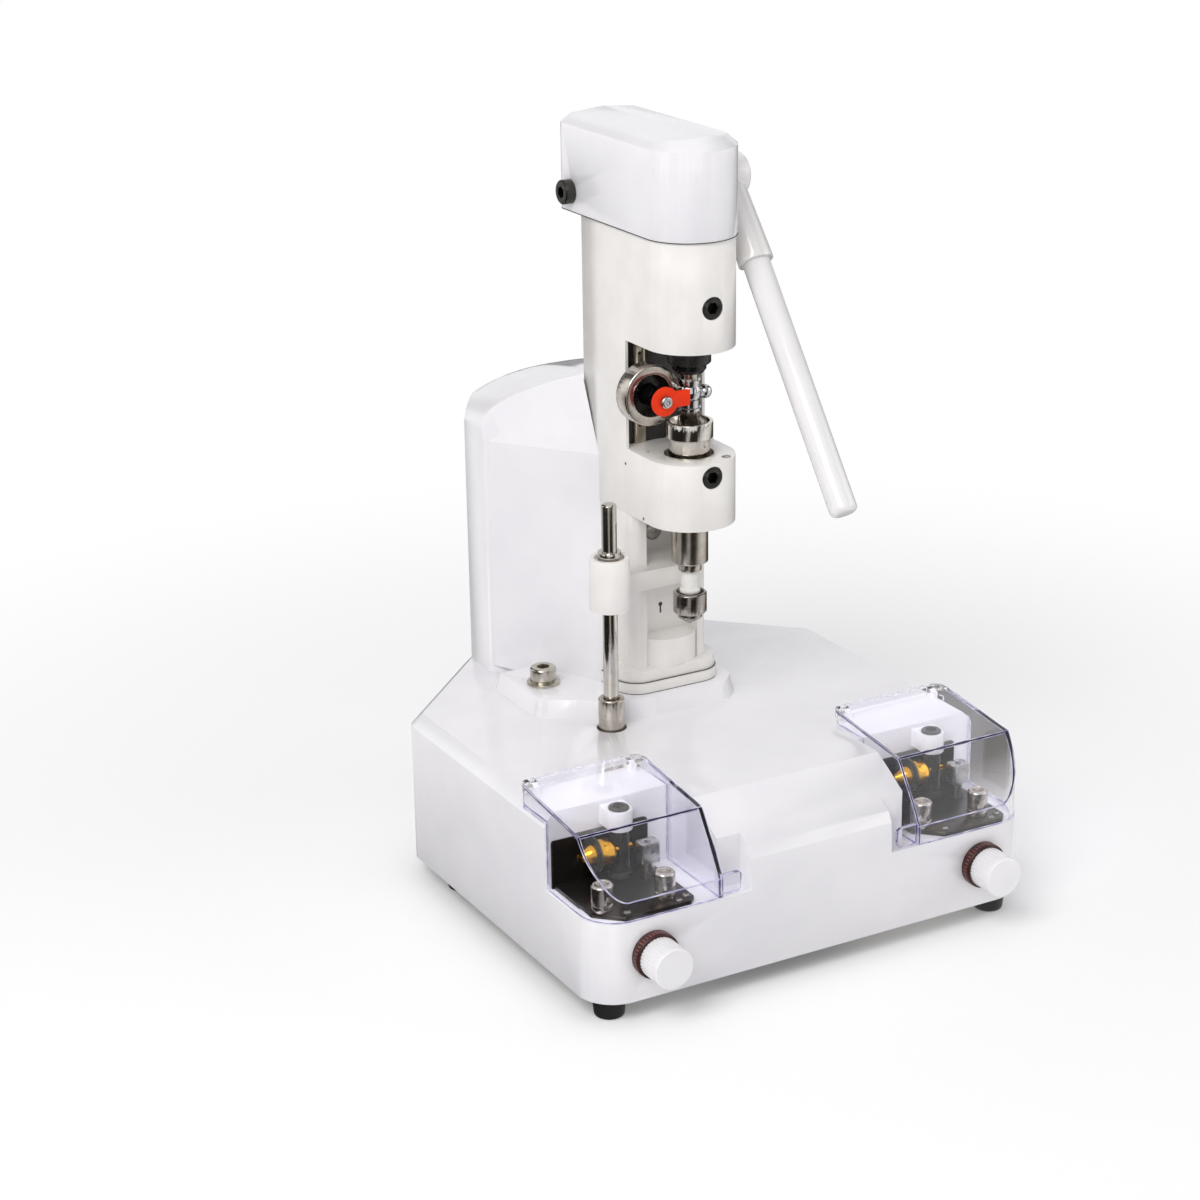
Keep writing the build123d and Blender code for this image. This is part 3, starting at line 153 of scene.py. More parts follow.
def moulded_plastic(name, colour, shade, roughness, texture_mm=1.6, bump=0.08, coat=0.35):
    """Moulded plastic: colour drifts a little over centimetres, with the tool's faint orange peel."""
    material, tree, shader = new_material(name, IOR=1.53, Coat_Weight=coat, Coat_Roughness=0.08)
    drift = grain(tree, place_on(tree), 45, 3.0)
    tree.links.new(ramp(tree, drift, [(0.35, shade), (0.65, colour)]), shader.inputs["Base Color"])
    peel = grain(tree, place_on(tree), texture_mm)
    tree.links.new(spread(tree, drift, roughness - 0.03, roughness + 0.05), shader.inputs["Roughness"])
    add_bump(tree, shader, peel, bump, 0.05)
    return material


def powder_coat(name, colour, shade):
    """Powder coat on cast aluminium: semi-gloss, with a fine orange peel over a casting's soft waves."""
    material, tree, shader = new_material(name, IOR=1.5, Coat_Weight=0.2, Coat_Roughness=0.12)
    waves = grain(tree, place_on(tree), 22, 2.0)
    tree.links.new(ramp(tree, waves, [(0.3, shade), (0.7, colour)]), shader.inputs["Base Color"])
    tree.links.new(spread(tree, waves, 0.27, 0.36), shader.inputs["Roughness"])
    peel = grain(tree, place_on(tree), 0.9)
    add_bump(tree, shader, peel, 0.16, 0.05)
    return material


def turned_metal(name, colour, shade, roughness, step_mm, axis="z", centre=(0, 0, 0), bump=0.15):
    """Turned or ground metal: tool marks run round the axis, so they show as bands along it.

    The real marks are some 0.05 mm apart. They are drawn coarser, or they would not show.
    """
    material, tree, shader = new_material(name, Metallic=1.0, Anisotropic=0.35)
    along = tuple(1 if letter == axis else 0.02 for letter in "xyz")
    marks = grain(tree, place_on(tree, along, centre), step_mm, 3.0)
    cloud = grain(tree, place_on(tree, centre=centre), 7, 2.0)
    both = add_node(tree, "ShaderNodeMix", {0: 0.6, 2: marks, 3: cloud}).outputs[0]
    tree.links.new(ramp(tree, both, [(0.25, shade), (0.75, colour)]), shader.inputs["Base Color"])
    tree.links.new(spread(tree, marks, roughness - 0.05, roughness + 0.06), shader.inputs["Roughness"])
    add_bump(tree, shader, marks, bump, 0.01)
    return material


def brushed_plate(name, colour, shade, roughness, direction=(0.03, 1, 1)):
    """Brushed steel sheet or strip: hair lines run along the axis whose share of the direction is small."""
    material, tree, shader = new_material(name, Metallic=1.0, Anisotropic=0.4)
    lines = grain(tree, place_on(tree, direction), 0.5, 3.0)
    cloud = grain(tree, place_on(tree), 9, 3.0)
    both = add_node(tree, "ShaderNodeMix", {0: 0.5, 2: lines, 3: cloud}).outputs[0]
    tree.links.new(ramp(tree, both, [(0.3, shade), (0.7, colour)]), shader.inputs["Base Color"])
    tree.links.new(spread(tree, both, roughness - 0.08, roughness + 0.12), shader.inputs["Roughness"])
    add_bump(tree, shader, lines, 0.12, 0.02)
    return material


def black_oxide(name, colour, shade, roughness):
    """Black oxide on machined steel: a thin, oily-looking conversion layer that wears bright on edges."""
    material, tree, shader = new_material(name, IOR=1.42)
    bloom = grain(tree, place_on(tree), 3.5, 4.0)
    tone = ramp(tree, bloom, [(0.3, shade), (0.7, colour)])
    tree.links.new(worn_edges(tree, tone, "4a4844", 0.6), shader.inputs["Base Color"])
    tree.links.new(spread(tree, bloom, roughness - 0.08, roughness + 0.14), shader.inputs["Roughness"])
    add_bump(tree, shader, grain(tree, place_on(tree), 0.5), 0.1, 0.02)
    return material


def clear_acrylic(name, tint, roughness):
    """Clear moulded acrylic: water clear with a cool tint, faint flow marks and fine wiping scratches."""
    material, tree, shader = new_material(name, IOR=1.49, Transmission_Weight=1.0)
    shader.inputs["Base Color"].default_value = linear(tint)
    flow = grain(tree, place_on(tree), 30, 1.0)
    wipe = grain(tree, place_on(tree, (0.05, 1, 1)), 0.8, 2.0)
    tree.links.new(spread(tree, wipe, roughness, roughness + 0.03), shader.inputs["Roughness"])
    add_bump(tree, shader, flow, 0.03, 0.1)
    # Lamps shine through it, as they do through thin clear sheet.
    path = add_node(tree, "ShaderNodeLightPath")
    clear = add_node(tree, "ShaderNodeBsdfTransparent", {0: linear("f8f8fc")})
    mixed = add_node(tree, "ShaderNodeMixShader", {0: path.outputs["Is Shadow Ray"], 1: shader.outputs[0],
                                                  2: clear.outputs[0]})
    tree.links.new(mixed.outputs[0], tree.nodes["Material Output"].inputs["Surface"])
    return material


def painted_edge_light(name):
    """The edges of clear acrylic, with painted light: violet, in dark and pale dashes, for the light that
    gathers in the real edges.
    """
    material, tree, shader = new_material(name, IOR=1.49, Coat_Weight=0.5, Coat_Roughness=0.05)
    dashes = grain(tree, place_on(tree), 7, 2.0)
    stops = [(0.34, "8a87b4"), (0.46, "b4b1d8"), (0.58, "d0cee9"), (0.7, "f4f3fc")]
    tree.links.new(ramp(tree, dashes, stops), shader.inputs["Base Color"])
    tree.links.new(spread(tree, dashes, 0.12, 0.3), shader.inputs["Roughness"])
    return material


def plain_metal(name, colour, shade, roughness, cloud_mm=12):
    """Plated or polished metal: smooth, with faint clouding from handling that shows in reflections."""
    material, tree, shader = new_material(name, Metallic=1.0)
    cloud = grain(tree, place_on(tree), cloud_mm, 3.0)
    tree.links.new(ramp(tree, cloud, [(0.3, shade), (0.7, colour)]), shader.inputs["Base Color"])
    tree.links.new(spread(tree, cloud, roughness, roughness + 0.08), shader.inputs["Roughness"])
    add_bump(tree, shader, grain(tree, place_on(tree), 1.2), 0.04, 0.02)
    return material


def matt_solid(name, colour, shade, roughness, texture_mm, bump):
    """Rubber, phenolic and other dull solids: a pitted or sparked surface with patches of dust."""
    material, tree, shader = new_material(name, IOR=1.5)
    dust = grain(tree, place_on(tree), 8, 4.0)
    tree.links.new(ramp(tree, dust, [(0.35, shade), (0.7, colour)]), shader.inputs["Base Color"])
    tree.links.new(spread(tree, dust, roughness - 0.06, roughness + 0.1), shader.inputs["Roughness"])
    add_bump(tree, shader, grain(tree, place_on(tree), texture_mm), bump, 0.05)
    return material


def studio_bands(tree, place):
    """Bright cards and dark gaps round the machine, by the heading of a place seen from its middle."""
    towards_camera = tuple(-part for part in CAMERA_AHEAD)
    parts = [add_node(tree, "ShaderNodeVectorMath", {0: place, 1: way}, operation="DOT_PRODUCT")
             for way in (CAMERA_RIGHT, towards_camera)]
    right, front = (part.outputs["Value"] for part in parts)
    heading = add_node(tree, "ShaderNodeMath", {0: right, 1: front}, operation="ARCTAN2").outputs[0]
    turn = add_node(tree, "ShaderNodeMapRange", {0: heading, 1: -math.pi, 2: math.pi}).outputs[0]
    return ramp(tree, turn, [(0.0, "3a3835"), (0.1, "8c8a88"), (0.15, "f4f3f2"), (0.2, "b5b2ae"),
                             (0.24, "2e2b28"), (0.43, "24211f"), (0.46, "b0aca8"), (0.485, "cfccc8"),
                             (0.51, "2a2725"), (0.61, "34302c"), (0.65, "d6d1ca"), (0.72, "ffffff"),
                             (0.81, "e9e6e1"), (0.86, "6a6661"), (0.93, "2b2926"), (1.0, "3a3835")])


# ---- Shapes ----------------------------------------------------------------------------------


def smooth_edges(piece, width_mm, angle):
    """Welds a piece's faces, rounds or splits its sharp edges and shades it smooth across the rest."""
    for polygon in piece.data.polygons:
        polygon.use_smooth = True
    weld = piece.modifiers.new("weld", "WELD")
    weld.merge_threshold = WELD_GAP
    if width_mm:
        bevel = piece.modifiers.new("soft edges", "BEVEL")
        bevel.width = width_mm * MM
        bevel.segments = 2
        bevel.limit_method = "ANGLE"
        bevel.angle_limit = math.radians(angle)
        bevel.harden_normals = True
        bevel.use_clamp_overlap = True
    else:
        split = piece.modifiers.new("sharp edges", "EDGE_SPLIT")
        split.split_angle = math.radians(angle)


def dress(names, material, width_mm, angle=35):
    """Gives CAD nodes their material, and rounds their edges that are sharper than the angle in degrees."""
    for name in names:
        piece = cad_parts[name]
        piece.data.materials.clear()
        piece.data.materials.append(material)
        smooth_edges(piece, width_mm, angle)


def add_piece(name, mesh, body, material, angle=35):
    """Links a mesh as a piece of that body, in that slot's finish, smooth up to the angle in degrees."""
    piece = bpy.data.objects.new(name, mesh)
    bpy.context.scene.collection.objects.link(piece)
    piece.data.materials.append(material)
    smooth_edges(piece, 0.0, angle)
    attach(piece, body)


def turned(bm, outline, centre, axis="z", sides=40, sense=1):
    """Revolves an outline of (radius, along) in mm about an axis through centre (metres)."""
    rings = []
    turn = {"x": Matrix.Rotation(math.pi / 2, 4, "Y"), "y": Matrix.Rotation(-math.pi / 2, 4, "X"),
            "z": Matrix.Identity(4)}[axis]
    for radius, along in outline:
        ring = []
        count = sides if radius > 0 else 1
        for i in range(count):
            angle = 2 * math.pi * i / sides
            spot = Vector((radius * math.cos(angle), radius * math.sin(angle), along * sense)) * MM
            ring.append(bm.verts.new(Vector(centre) + turn @ spot))
        rings.append(ring)
    for low, high in zip(rings, rings[1:]):
        for i in range(sides):
            j = (i + 1) % sides
            corners = [low[i % len(low)], low[j % len(low)], high[j % len(high)], high[i % len(high)]]
            unique = list(dict.fromkeys(corners))
            if len(unique) > 2:
                bm.faces.new(unique)


def disc(radius, thickness):
    """Outline of a flat disc, for turned."""
    return [(0, thickness), (radius, thickness), (radius, 0)]


def ball_zone(radius, first, step, count, shift=0.0):
    """Outline of a zone of a ball, for turned: count places from the first latitude, in degrees."""
    latitudes = [math.radians(first + step * i) for i in range(count)]
    return [(radius * math.cos(a), radius * math.sin(a) + shift) for a in latitudes]


def prism(bm, points, matrix, thickness):
    """A closed flat outline of (x, y) in mm, thickened in mm along +z, then placed by a matrix (metres)."""
    low = [bm.verts.new(matrix @ (Vector((x, y, 0)) * MM)) for x, y in points]
    high = [bm.verts.new(matrix @ (Vector((x, y, thickness)) * MM)) for x, y in points]
    bm.faces.new(list(reversed(low)))
    bm.faces.new(high)
    for i in range(len(points)):
        j = (i + 1) % len(points)
        bm.faces.new([low[i], low[j], high[j], high[i]])


def bar(half_width, low, high):
    """Outline of an upright bar, for prism."""
    return [(-half_width, low), (half_width, low), (half_width, high), (-half_width, high)]


def ridge_lines(node, choose, radius_mm, name):
    """Thin six-sided tubes along those edges of a CAD node that choose(edge) picks."""
    source = bmesh.new()
    source.from_mesh(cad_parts[node].data)
    bmesh.ops.remove_doubles(source, verts=source.verts, dist=WELD_GAP)
    corners = [i * math.pi / 3 for i in range(6)]
    outline = [(radius_mm * math.cos(a), radius_mm * math.sin(a)) for a in corners]
    bm = bmesh.new()
    for edge in source.edges:
        if len(edge.link_faces) != 2 or not choose(edge):
            continue
        start, end = (vert.co for vert in edge.verts)
        along = end - start
        turn = along.to_track_quat("Z", "Y").to_matrix().to_4x4()
        prism(bm, outline, Matrix.Translation(start) @ turn, along.length / MM)
    source.free()
    return finish_mesh(bm, name)


def sharp(degrees):
    """Picks edges whose faces meet at more than that angle."""
    return lambda edge: edge.calc_face_angle(0) > math.radians(degrees)


def at_height(height):
    """Picks sharp edges that lie level at that height in metres."""
    def choose(edge):
        level = all(abs(vert.co.z - height) < 0.2 * MM for vert in edge.verts)
        return level and sharp(30)(edge)
    return choose


def finish_mesh(bm, name):
    """The bmesh as a mesh, with its faces' sides set right."""
    bmesh.ops.recalc_face_normals(bm, faces=bm.faces)
    mesh = bpy.data.meshes.new(name)
    bm.to_mesh(mesh)
    bm.free()
    return mesh


# ---- Stage -----------------------------------------------------------------------------------


def light_world(world, strength):
    """White for the camera and clear parts, soft light for dull surfaces, a studio for metal to mirror."""
    world.use_nodes = True
    tree = world.node_tree
    tree.nodes.clear()
    path = add_node(tree, "ShaderNodeLightPath")
    seen = add_node(tree, "ShaderNodeMath", {0: path.outputs["Is Camera Ray"],
                                            1: path.outputs["Is Transmission Ray"]}, operation="MAXIMUM")
    room = add_node(tree, "ShaderNodeBackground", {0: linear("f6f6f8"), 1: strength})
    white = add_node(tree, "ShaderNodeBackground", {0: linear("ffffff"), 1: 1.0})
    # The studio: a pale wall ahead and behind, dark gaps, and tall soft boxes at the left and the right.
    heading = add_node(tree, "ShaderNodeTexCoord").outputs["Generated"]
    across = add_node(tree, "ShaderNodeVectorMath", {0: heading, 1: CAMERA_RIGHT}, operation="DOT_PRODUCT")
    width = add_node(tree, "ShaderNodeMath", {0: across.outputs["Value"]}, operation="ABSOLUTE")
    boxes = ramp(tree, width.outputs[0], [(0.0, "f2f1f3"), (0.42, "e2e0e2"), (0.56, "3a3836"),
                                          (0.7, "45423f"), (0.8, "ffffff"), (0.93, "fffdf8"),
                                          (1.0, "9a9896")])
    studio = add_node(tree, "ShaderNodeBackground", {0: boxes, 1: 1.1})
    mirrored = add_node(tree, "ShaderNodeMixShader", {0: path.outputs["Is Glossy Ray"],
                                                     1: room.outputs[0], 2: studio.outputs[0]})
    mixed = add_node(tree, "ShaderNodeMixShader", {0: seen.outputs[0], 1: mirrored.outputs[0],
                                                  2: white.outputs[0]})
    add_node(tree, "ShaderNodeOutputWorld", {"Surface": mixed.outputs[0]})


def studio_paper(colour):
    """Matt white paper that fades to plain white far off, and gives metal cards and dark gaps to mirror."""
    material, tree, shader = new_material("matt white studio paper", Roughness=0.7)
    shader.inputs["Base Color"].default_value = list(colour) + [1.0]
    fibre = grain(tree, place_on(tree), 2.5)
    add_bump(tree, shader, fibre, 0.03, 0.05)
    # The camera sees the paper a little brighter than it is lit, and plain white from 0.95 m off.
    rays = add_node(tree, "ShaderNodeLightPath")
    sight = rays.outputs["Is Camera Ray"]
    glow = add_node(tree, "ShaderNodeMath", {0: sight, 1: 0.12}, operation="MULTIPLY")
    lift = add_node(tree, "ShaderNodeEmission", {0: linear("ffffff"), "Strength": glow.outputs[0]})
    near = add_node(tree, "ShaderNodeAddShader", {0: shader.outputs[0], 1: lift.outputs[0]})
    reach = add_node(tree, "ShaderNodeVectorMath", {0: place_on(tree)}, operation="LENGTH")
    far = add_node(tree, "ShaderNodeMapRange", {0: reach.outputs["Value"], 1: 0.3, 2: 0.95},
                   interpolation_type="SMOOTHSTEP")
    fade = add_node(tree, "ShaderNodeMath", {0: far.outputs[0], 1: sight}, operation="MULTIPLY")
    plain = add_node(tree, "ShaderNodeEmission", {0: linear("ffffff"), "Strength": 1.0})
    paper = add_node(tree, "ShaderNodeMixShader", {0: fade.outputs[0], 1: near.outputs[0],
                                                  2: plain.outputs[0]})
    # Rods and other upright metal mirror what stands on the floor round the machine.
    cards = add_node(tree, "ShaderNodeEmission", {0: studio_bands(tree, place_on(tree)), "Strength": 1.0})
    shown = add_node(tree, "ShaderNodeMixShader", {0: rays.outputs["Is Glossy Ray"], 1: paper.outputs[0],
                                                  2: cards.outputs[0]})
    tree.links.new(shown.outputs[0], tree.nodes["Material Output"].inputs["Surface"])
    return material


def add_lamp(scene, name, place, side, power):
    """A square lamp that faces the machine's middle, with its side in metres and its power in watts."""
    lamp = bpy.data.lights.new(name, "AREA")
    lamp.shape = "SQUARE"
    lamp.size = side
    lamp.energy = power
    lamp.color = linear("fffdfa")[:3]
    holder = bpy.data.objects.new(name, lamp)
    scene.collection.objects.link(holder)
    holder.location = place
    aim = Vector((0, 0, 0.22)) - Vector(place)
    holder.rotation_euler = aim.to_track_quat("-Z", "Y").to_euler()


def add_camera(scene):
    """The photograph's camera, with its place, turn and focal length solved from the base's edges."""
    camera = bpy.data.cameras.new("camera")
    camera.sensor_width = 36
    camera.lens = 81.75
    holder = bpy.data.objects.new("camera", camera)
    scene.collection.objects.link(holder)
    pitch, roll = math.radians(20.1), math.radians(-0.87)
    across = Vector(CAMERA_RIGHT)
    ahead = Vector(CAMERA_AHEAD) * math.cos(pitch) - Vector((0, 0, math.sin(pitch)))
    up = across.cross(ahead)
    right = across * math.cos(roll) + up * math.sin(roll)
    top = right.cross(ahead)
    turn = Matrix((right, top, -ahead)).transposed()
    holder.matrix_world = Matrix.Translation((-0.8573, -1.4369, 0.8107)) @ turn.to_4x4()
    scene.camera = holder


# ---- The tower's front faces, in the drawing's millimetres -----------------------------------


# Plan of a face from the column to the tower's corner, under the roof and at the foot.
FACE_HIGH = ((28.6, 227.0), (39.5, 241.7), (79.2, 295.8))
FACE_FOOT = ((28.6, 211.0), (39.5, 214.0), (79.2, 295.8))
# A bevel leans back between these heights, and the arch above it leans further.
BEVEL_LOW, BEVEL_HIGH = 284, 288
BEVEL_SLOPE, ARCH_SLOPE = 0.55, math.tan(math.radians(19))
# How much of the step between the two plans is left at a height.
FACE_STEP = ((150, 1), (180, 0.72), (215, 0.36), (250, 0), (BEVEL_LOW - 0.2, 0), (BEVEL_LOW, 0))
# Heights of the cuts through the bevel and the arch, as far as the roof is that high.
ARCH_CUTS = (BEVEL_LOW + 0.2, BEVEL_HIGH - 0.2, BEVEL_HIGH, BEVEL_HIGH + 0.2, 300, 310, 320, 330)
# The roof's eaves, and its ridge at the front, which falls towards the rear.
EAVES, RIDGE, RIDGE_FALL = 289, 342, 24 / 122


def face_place(plan, share):
    """The (x, y) that share of the way along a plan, with its second point a fifth of the way."""
    bend = 0.2
    if share < bend:
        one, two, part = plan[0], plan[1], share / bend
    else:
        one, two, part = plan[1], plan[2], (share - bend) / (1 - bend)
    return one[0] + (two[0] - one[0]) * part, one[1] + (two[1] - one[1]) * part


def roof_height(x, y):
    """Height of the tower's roof, which is a quarter of an ellipse across, from x 6 to x 80."""
    ridge = RIDGE - RIDGE_FALL * (y - 215)
    across = min(max((x - 6) / 74, 0), 1)
    return EAVES + (ridge - EAVES) * math.sqrt(1 - across * across)


def face_lean(height):
    """How far the face has leaned back at a height."""
    bevel = max(0, min(height, BEVEL_HIGH) - BEVEL_LOW) * BEVEL_SLOPE
    return bevel + max(0, height - BEVEL_HIGH) * ARCH_SLOPE


def face_cut(share, foot):
    """Corners of an upright cut through the face: up its front to the roof, and down inside the tower."""
    x, y = face_place(FACE_HIGH, share)
    step = y - face_place(FACE_FOOT, share)[1]
    top = roof_height(x, y)
    for _ in range(4):
        top = roof_height(x, y + face_lean(top))

    def leaned(height):
        """The face's y at a height. It runs askew, so straight back is 1.25 times the lean."""
        return y + 1.25 * face_lean(min(height, top))

    corners = [(x, y - step * left, height) for height, left in ((foot, 1),) + FACE_STEP]
    corners += [(x, leaned(height), max(BEVEL_LOW, min(height, top))) for height in ARCH_CUTS]
    corners.append((x, leaned(top), top - 0.1))
    # The CAD tower's own face runs at 45 degrees. The cut ends 2 mm behind it, just under the roof.
    inside = 216 + x + 2
    inside_top = inside + 1.42 * face_lean(top)
    corners.append((x, max(inside_top, leaned(top) + 0.1), roof_height(x, inside_top) - 0.4))
    corners.append((x, max(inside, y + 0.1), foot))
    return corners


# ---- Settings shown in the sidebar -----------------------------------------------------------


class LensDrillSizes(bpy.types.PropertyGroup):
    """Sizes of the small fittings, in millimetres."""

    plate_screw: FloatProperty(name="Plate screw", description="Head diameter of the station screws, in mm",
                               default=4.6, min=2, max=8)
    keyhole: FloatProperty(name="Keyhole", description="Diameter of the keyhole in the column, in mm",
                           default=3.0, min=1, max=6)
    seam: FloatProperty(name="Seam", description="Width of the dark joint lines, in mm",
                        default=0.6, min=0.2, max=2)
    dial_marks: IntProperty(name="Dial marks", description="Graduations round each speed dial", default=40,
                            min=8, max=72)
    soft_edge: FloatProperty(name="Soft edge", description="Rounding of the mouldings' edges, in mm",
                             default=0.8, min=0.1, max=2)


class LensDrillColours(bpy.types.PropertyGroup):
    """The floor's colour and the strengths of the lights."""

    floor: FloatVectorProperty(name="Floor", description="Colour of the floor", subtype="COLOR", size=3,
                               default=linear("f6f6f7")[:3], min=0, max=1)
    key: FloatProperty(name="Key light", description="Power of the large lamp at the left, in watts",
                       default=26, min=0, subtype="POWER")
    fill: FloatProperty(name="Fill light", description="Power of the lamp at the right, in watts",
                        default=4, min=0, subtype="POWER")
    world: FloatProperty(name="World", description="Strength of the surrounding light",
                         default=0.64, min=0)


# ---- Operators -------------------------------------------------------------------------------


class LENSDRILL_OT_stage(bpy.types.Operator):
    """Sets up the floor, the soft lamps, the pale surroundings and the camera."""

    bl_idname = "lensdrill.stage"
    bl_label = "Floor, lamps and camera"

    def execute(self, context):
        scene = context.scene
        look = scene.lens_drill_colours
        scene.view_settings.view_transform = "Standard"
        scene.world = bpy.data.worlds.new("pale room")
        light_world(scene.world, look.world)
        paper = studio_paper(look.floor)
        bm = bmesh.new()
        bmesh.ops.create_grid(bm, x_segments=2, y_segments=2, size=6.0)
        floor = bpy.data.objects.new("studio_floor", finish_mesh(bm, "studio_floor"))
        scene.collection.objects.link(floor)
        floor.data.materials.append(paper)
        add_lamp(scene, "key", (-1.43, -0.98, 1.81), 1.2, look.key)
        add_lamp(scene, "fill", (1.6, -0.9, 0.9), 1.0, look.fill)
        add_camera(scene)
        return {"FINISHED"}


class LENSDRILL_OT_mouldings(bpy.types.Operator):
    """Finishes the moulded base with its tower, and the moulded cap."""

    bl_idname = "lensdrill.mouldings"
    bl_label = "Base and cap"

    def execute(self, context):
        sizes = context.scene.lens_drill_sizes
        # Gloss ABS: cool white, a clear coat-like skin and a faint orange peel.
        white = moulded_plastic("ABS, injection moulded, gloss white", "f1f0f3", "ecebef", roughness=0.17)
        dress(["base_shell", "head_cap"], white, sizes.soft_edge, 17)
        return {"FINISHED"}


class LENSDRILL_OT_tower_cheeks(bpy.types.Operator):
    """Adds the tower's front faces, which run forward to the column and hide its rear half."""

    bl_idname = "lensdrill.tower_cheeks"
    bl_label = "Tower front faces"

    def execute(self, context):
        white = bpy.data.materials["ABS, injection moulded, gloss white"]
        # The faces run down into the pedestal, below the plinth.
        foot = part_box("column_plinth")[0].z / MM - 7
        steps = 20
        bm = bmesh.new()
        for side in (-1, 1):
            cuts = []
            for step in range(steps + 1):
                corners = face_cut(step / steps, foot)
                cuts.append([bm.verts.new(frame_mm(side * x, y, z)) for x, y, z in corners])
            for one, two in zip(cuts, cuts[1:]):
                for i in range(len(one) - 1):
                    bm.faces.new([one[i], two[i], two[i + 1], one[i + 1]])
            bm.faces.new(cuts[0])
            bm.faces.new(list(reversed(cuts[-1])))
        bmesh.ops.remove_doubles(bm, verts=bm.verts, dist=2 * WELD_GAP)
        add_piece("tower_cheeks", finish_mesh(bm, "tower_cheeks"), "base", white, 50)
        return {"FINISHED"}


class LENSDRILL_OT_castings(bpy.types.Operator):
    """Finishes the painted castings: head, column, plinth and guide arm."""

    bl_idname = "lensdrill.castings"
    bl_label = "Painted castings"

    def execute(self, context):
        # Powder coat on sand-cast aluminium: warm ivory beside the cooler moulding.
        ivory = powder_coat("aluminium casting, powder coated ivory", "f2f0ed", "ece9e5")
        dress(["head_casting", "column_frame", "column_plinth", "guide_arm"], ivory, 0.5, 20)
        return {"FINISHED"}


class LENSDRILL_OT_lever(bpy.types.Operator):
    """Finishes the feed lever: enamelled hub and sleeve, and its moulded grip."""

    bl_idname = "lensdrill.lever"
    bl_label = "Feed lever"

    def execute(self, context):
        # Gloss enamel over turned steel: a deep wet shine, slightly warmer than the grip.
        enamel = moulded_plastic("steel, gloss enamelled white", "ecebea", "e6e4e2", roughness=0.16,
                                 texture_mm=2.5, bump=0.05, coat=0.6)
        dress(["lever_hub", "lever_sleeve"], enamel, 0.5)
        # Nylon from a smooth mould: waxy, between satin and gloss.
        nylon = moulded_plastic("nylon, moulded white", "eeedee", "e9e8ea", roughness=0.24,
                                texture_mm=1.2, bump=0.05, coat=0.2)
        dress(["lever_grip"], nylon, 0.4)
        return {"FINISHED"}


class LENSDRILL_OT_knobs(bpy.types.Operator):
    """Finishes the speed knobs and the graduated rings behind them, and prints the rings' marks."""

    bl_idname = "lensdrill.knobs"
    bl_label = "Speed knobs and dials"

    def execute(self, context):
        sizes = context.scene.lens_drill_sizes
        # ABS from a fine-sparked mould: the flutes catch small soft highlights.
        plain = moulded_plastic("ABS, moulded white knob", "f7f6f8", "f1f0f3", roughness=0.3,
                                texture_mm=0.8, coat=0.1)
        dress(["knob_left", "knob_right"], plain, 0.3)
        # Acetal, turned: dense and waxy with fine lathe rings.
        ring = matt_solid("acetal, dark red dial ring", "3e1210", "2a0b0a", roughness=0.34,
                          texture_mm=0.6, bump=0.1)
        dress(["dial_rings"], ring, 0.3)
        # Screen print: thin matt paint. Every fifth mark is a long one.
        paint = matt_solid("screen print, pale red marks", "b8655a", "a5564c", roughness=0.5,
                           texture_mm=0.5, bump=0.05)
        low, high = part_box("dial_rings")
        radius = (high.z - low.z) / 2 / MM
        # On the ring's rim, 1.4 mm in from its front: each mark stands 0.07 mm proud.
        rim = Matrix.Translation(Vector((0, 1.4 * MM, (radius + 0.02) * MM)))
        for name in ("left", "right"):
            spot = Vector((middle(f"knob_{name}").x, low.y, (low.z + high.z) / 2))
            bm = bmesh.new()
            for mark in range(sizes.dial_marks):
                angle = 2 * math.pi * mark / sizes.dial_marks
                turn = Matrix.Translation(spot) @ Matrix.Rotation(angle, 4, "Y")
                length = 4.2 if mark % 5 == 0 else 2.6
                prism(bm, bar(0.22, 0, length), turn @ rim, 0.05)
            add_piece(f"dial_marks_{name}", finish_mesh(bm, "dial_marks"), "base", paint)
        return {"FINISHED"}


class LENSDRILL_OT_covers(bpy.types.Operator):
    """Finishes the clear covers and their lit edges."""

    bl_idname = "lensdrill.covers"
    bl_label = "Clear covers"

    def execute(self, context):
        # Acrylic, moulded clear: the walls look clear, and the edges turn violet grey.
        acrylic = clear_acrylic("acrylic, moulded clear", "fafafe", roughness=0.02)
        dress(["cover_left", "cover_right"], acrylic, 0.0, 20)
        # Acrylic, polished edges: thin tubes with painted light, the violet glow gathered there.
        lit = painted_edge_light("acrylic edges, painted violet light")
        hinge = middle("hinge_pins")

        def clear_of_hinge(edge):
            """Sharp edges away from the hinge lugs, which the swinging cover passes closely."""
            reach = max(math.hypot(vert.co.y - hinge.y, vert.co.z - hinge.z) for vert in edge.verts)
            return reach > 10 * MM and sharp(24)(edge)

        for side in ("left", "right"):
            mesh = ridge_lines(f"cover_{side}", clear_of_hinge, 0.24, "cover_edges")
            add_piece(f"cover_edges_{side}", mesh, f"hood_{side}", lit)
        return {"FINISHED"}


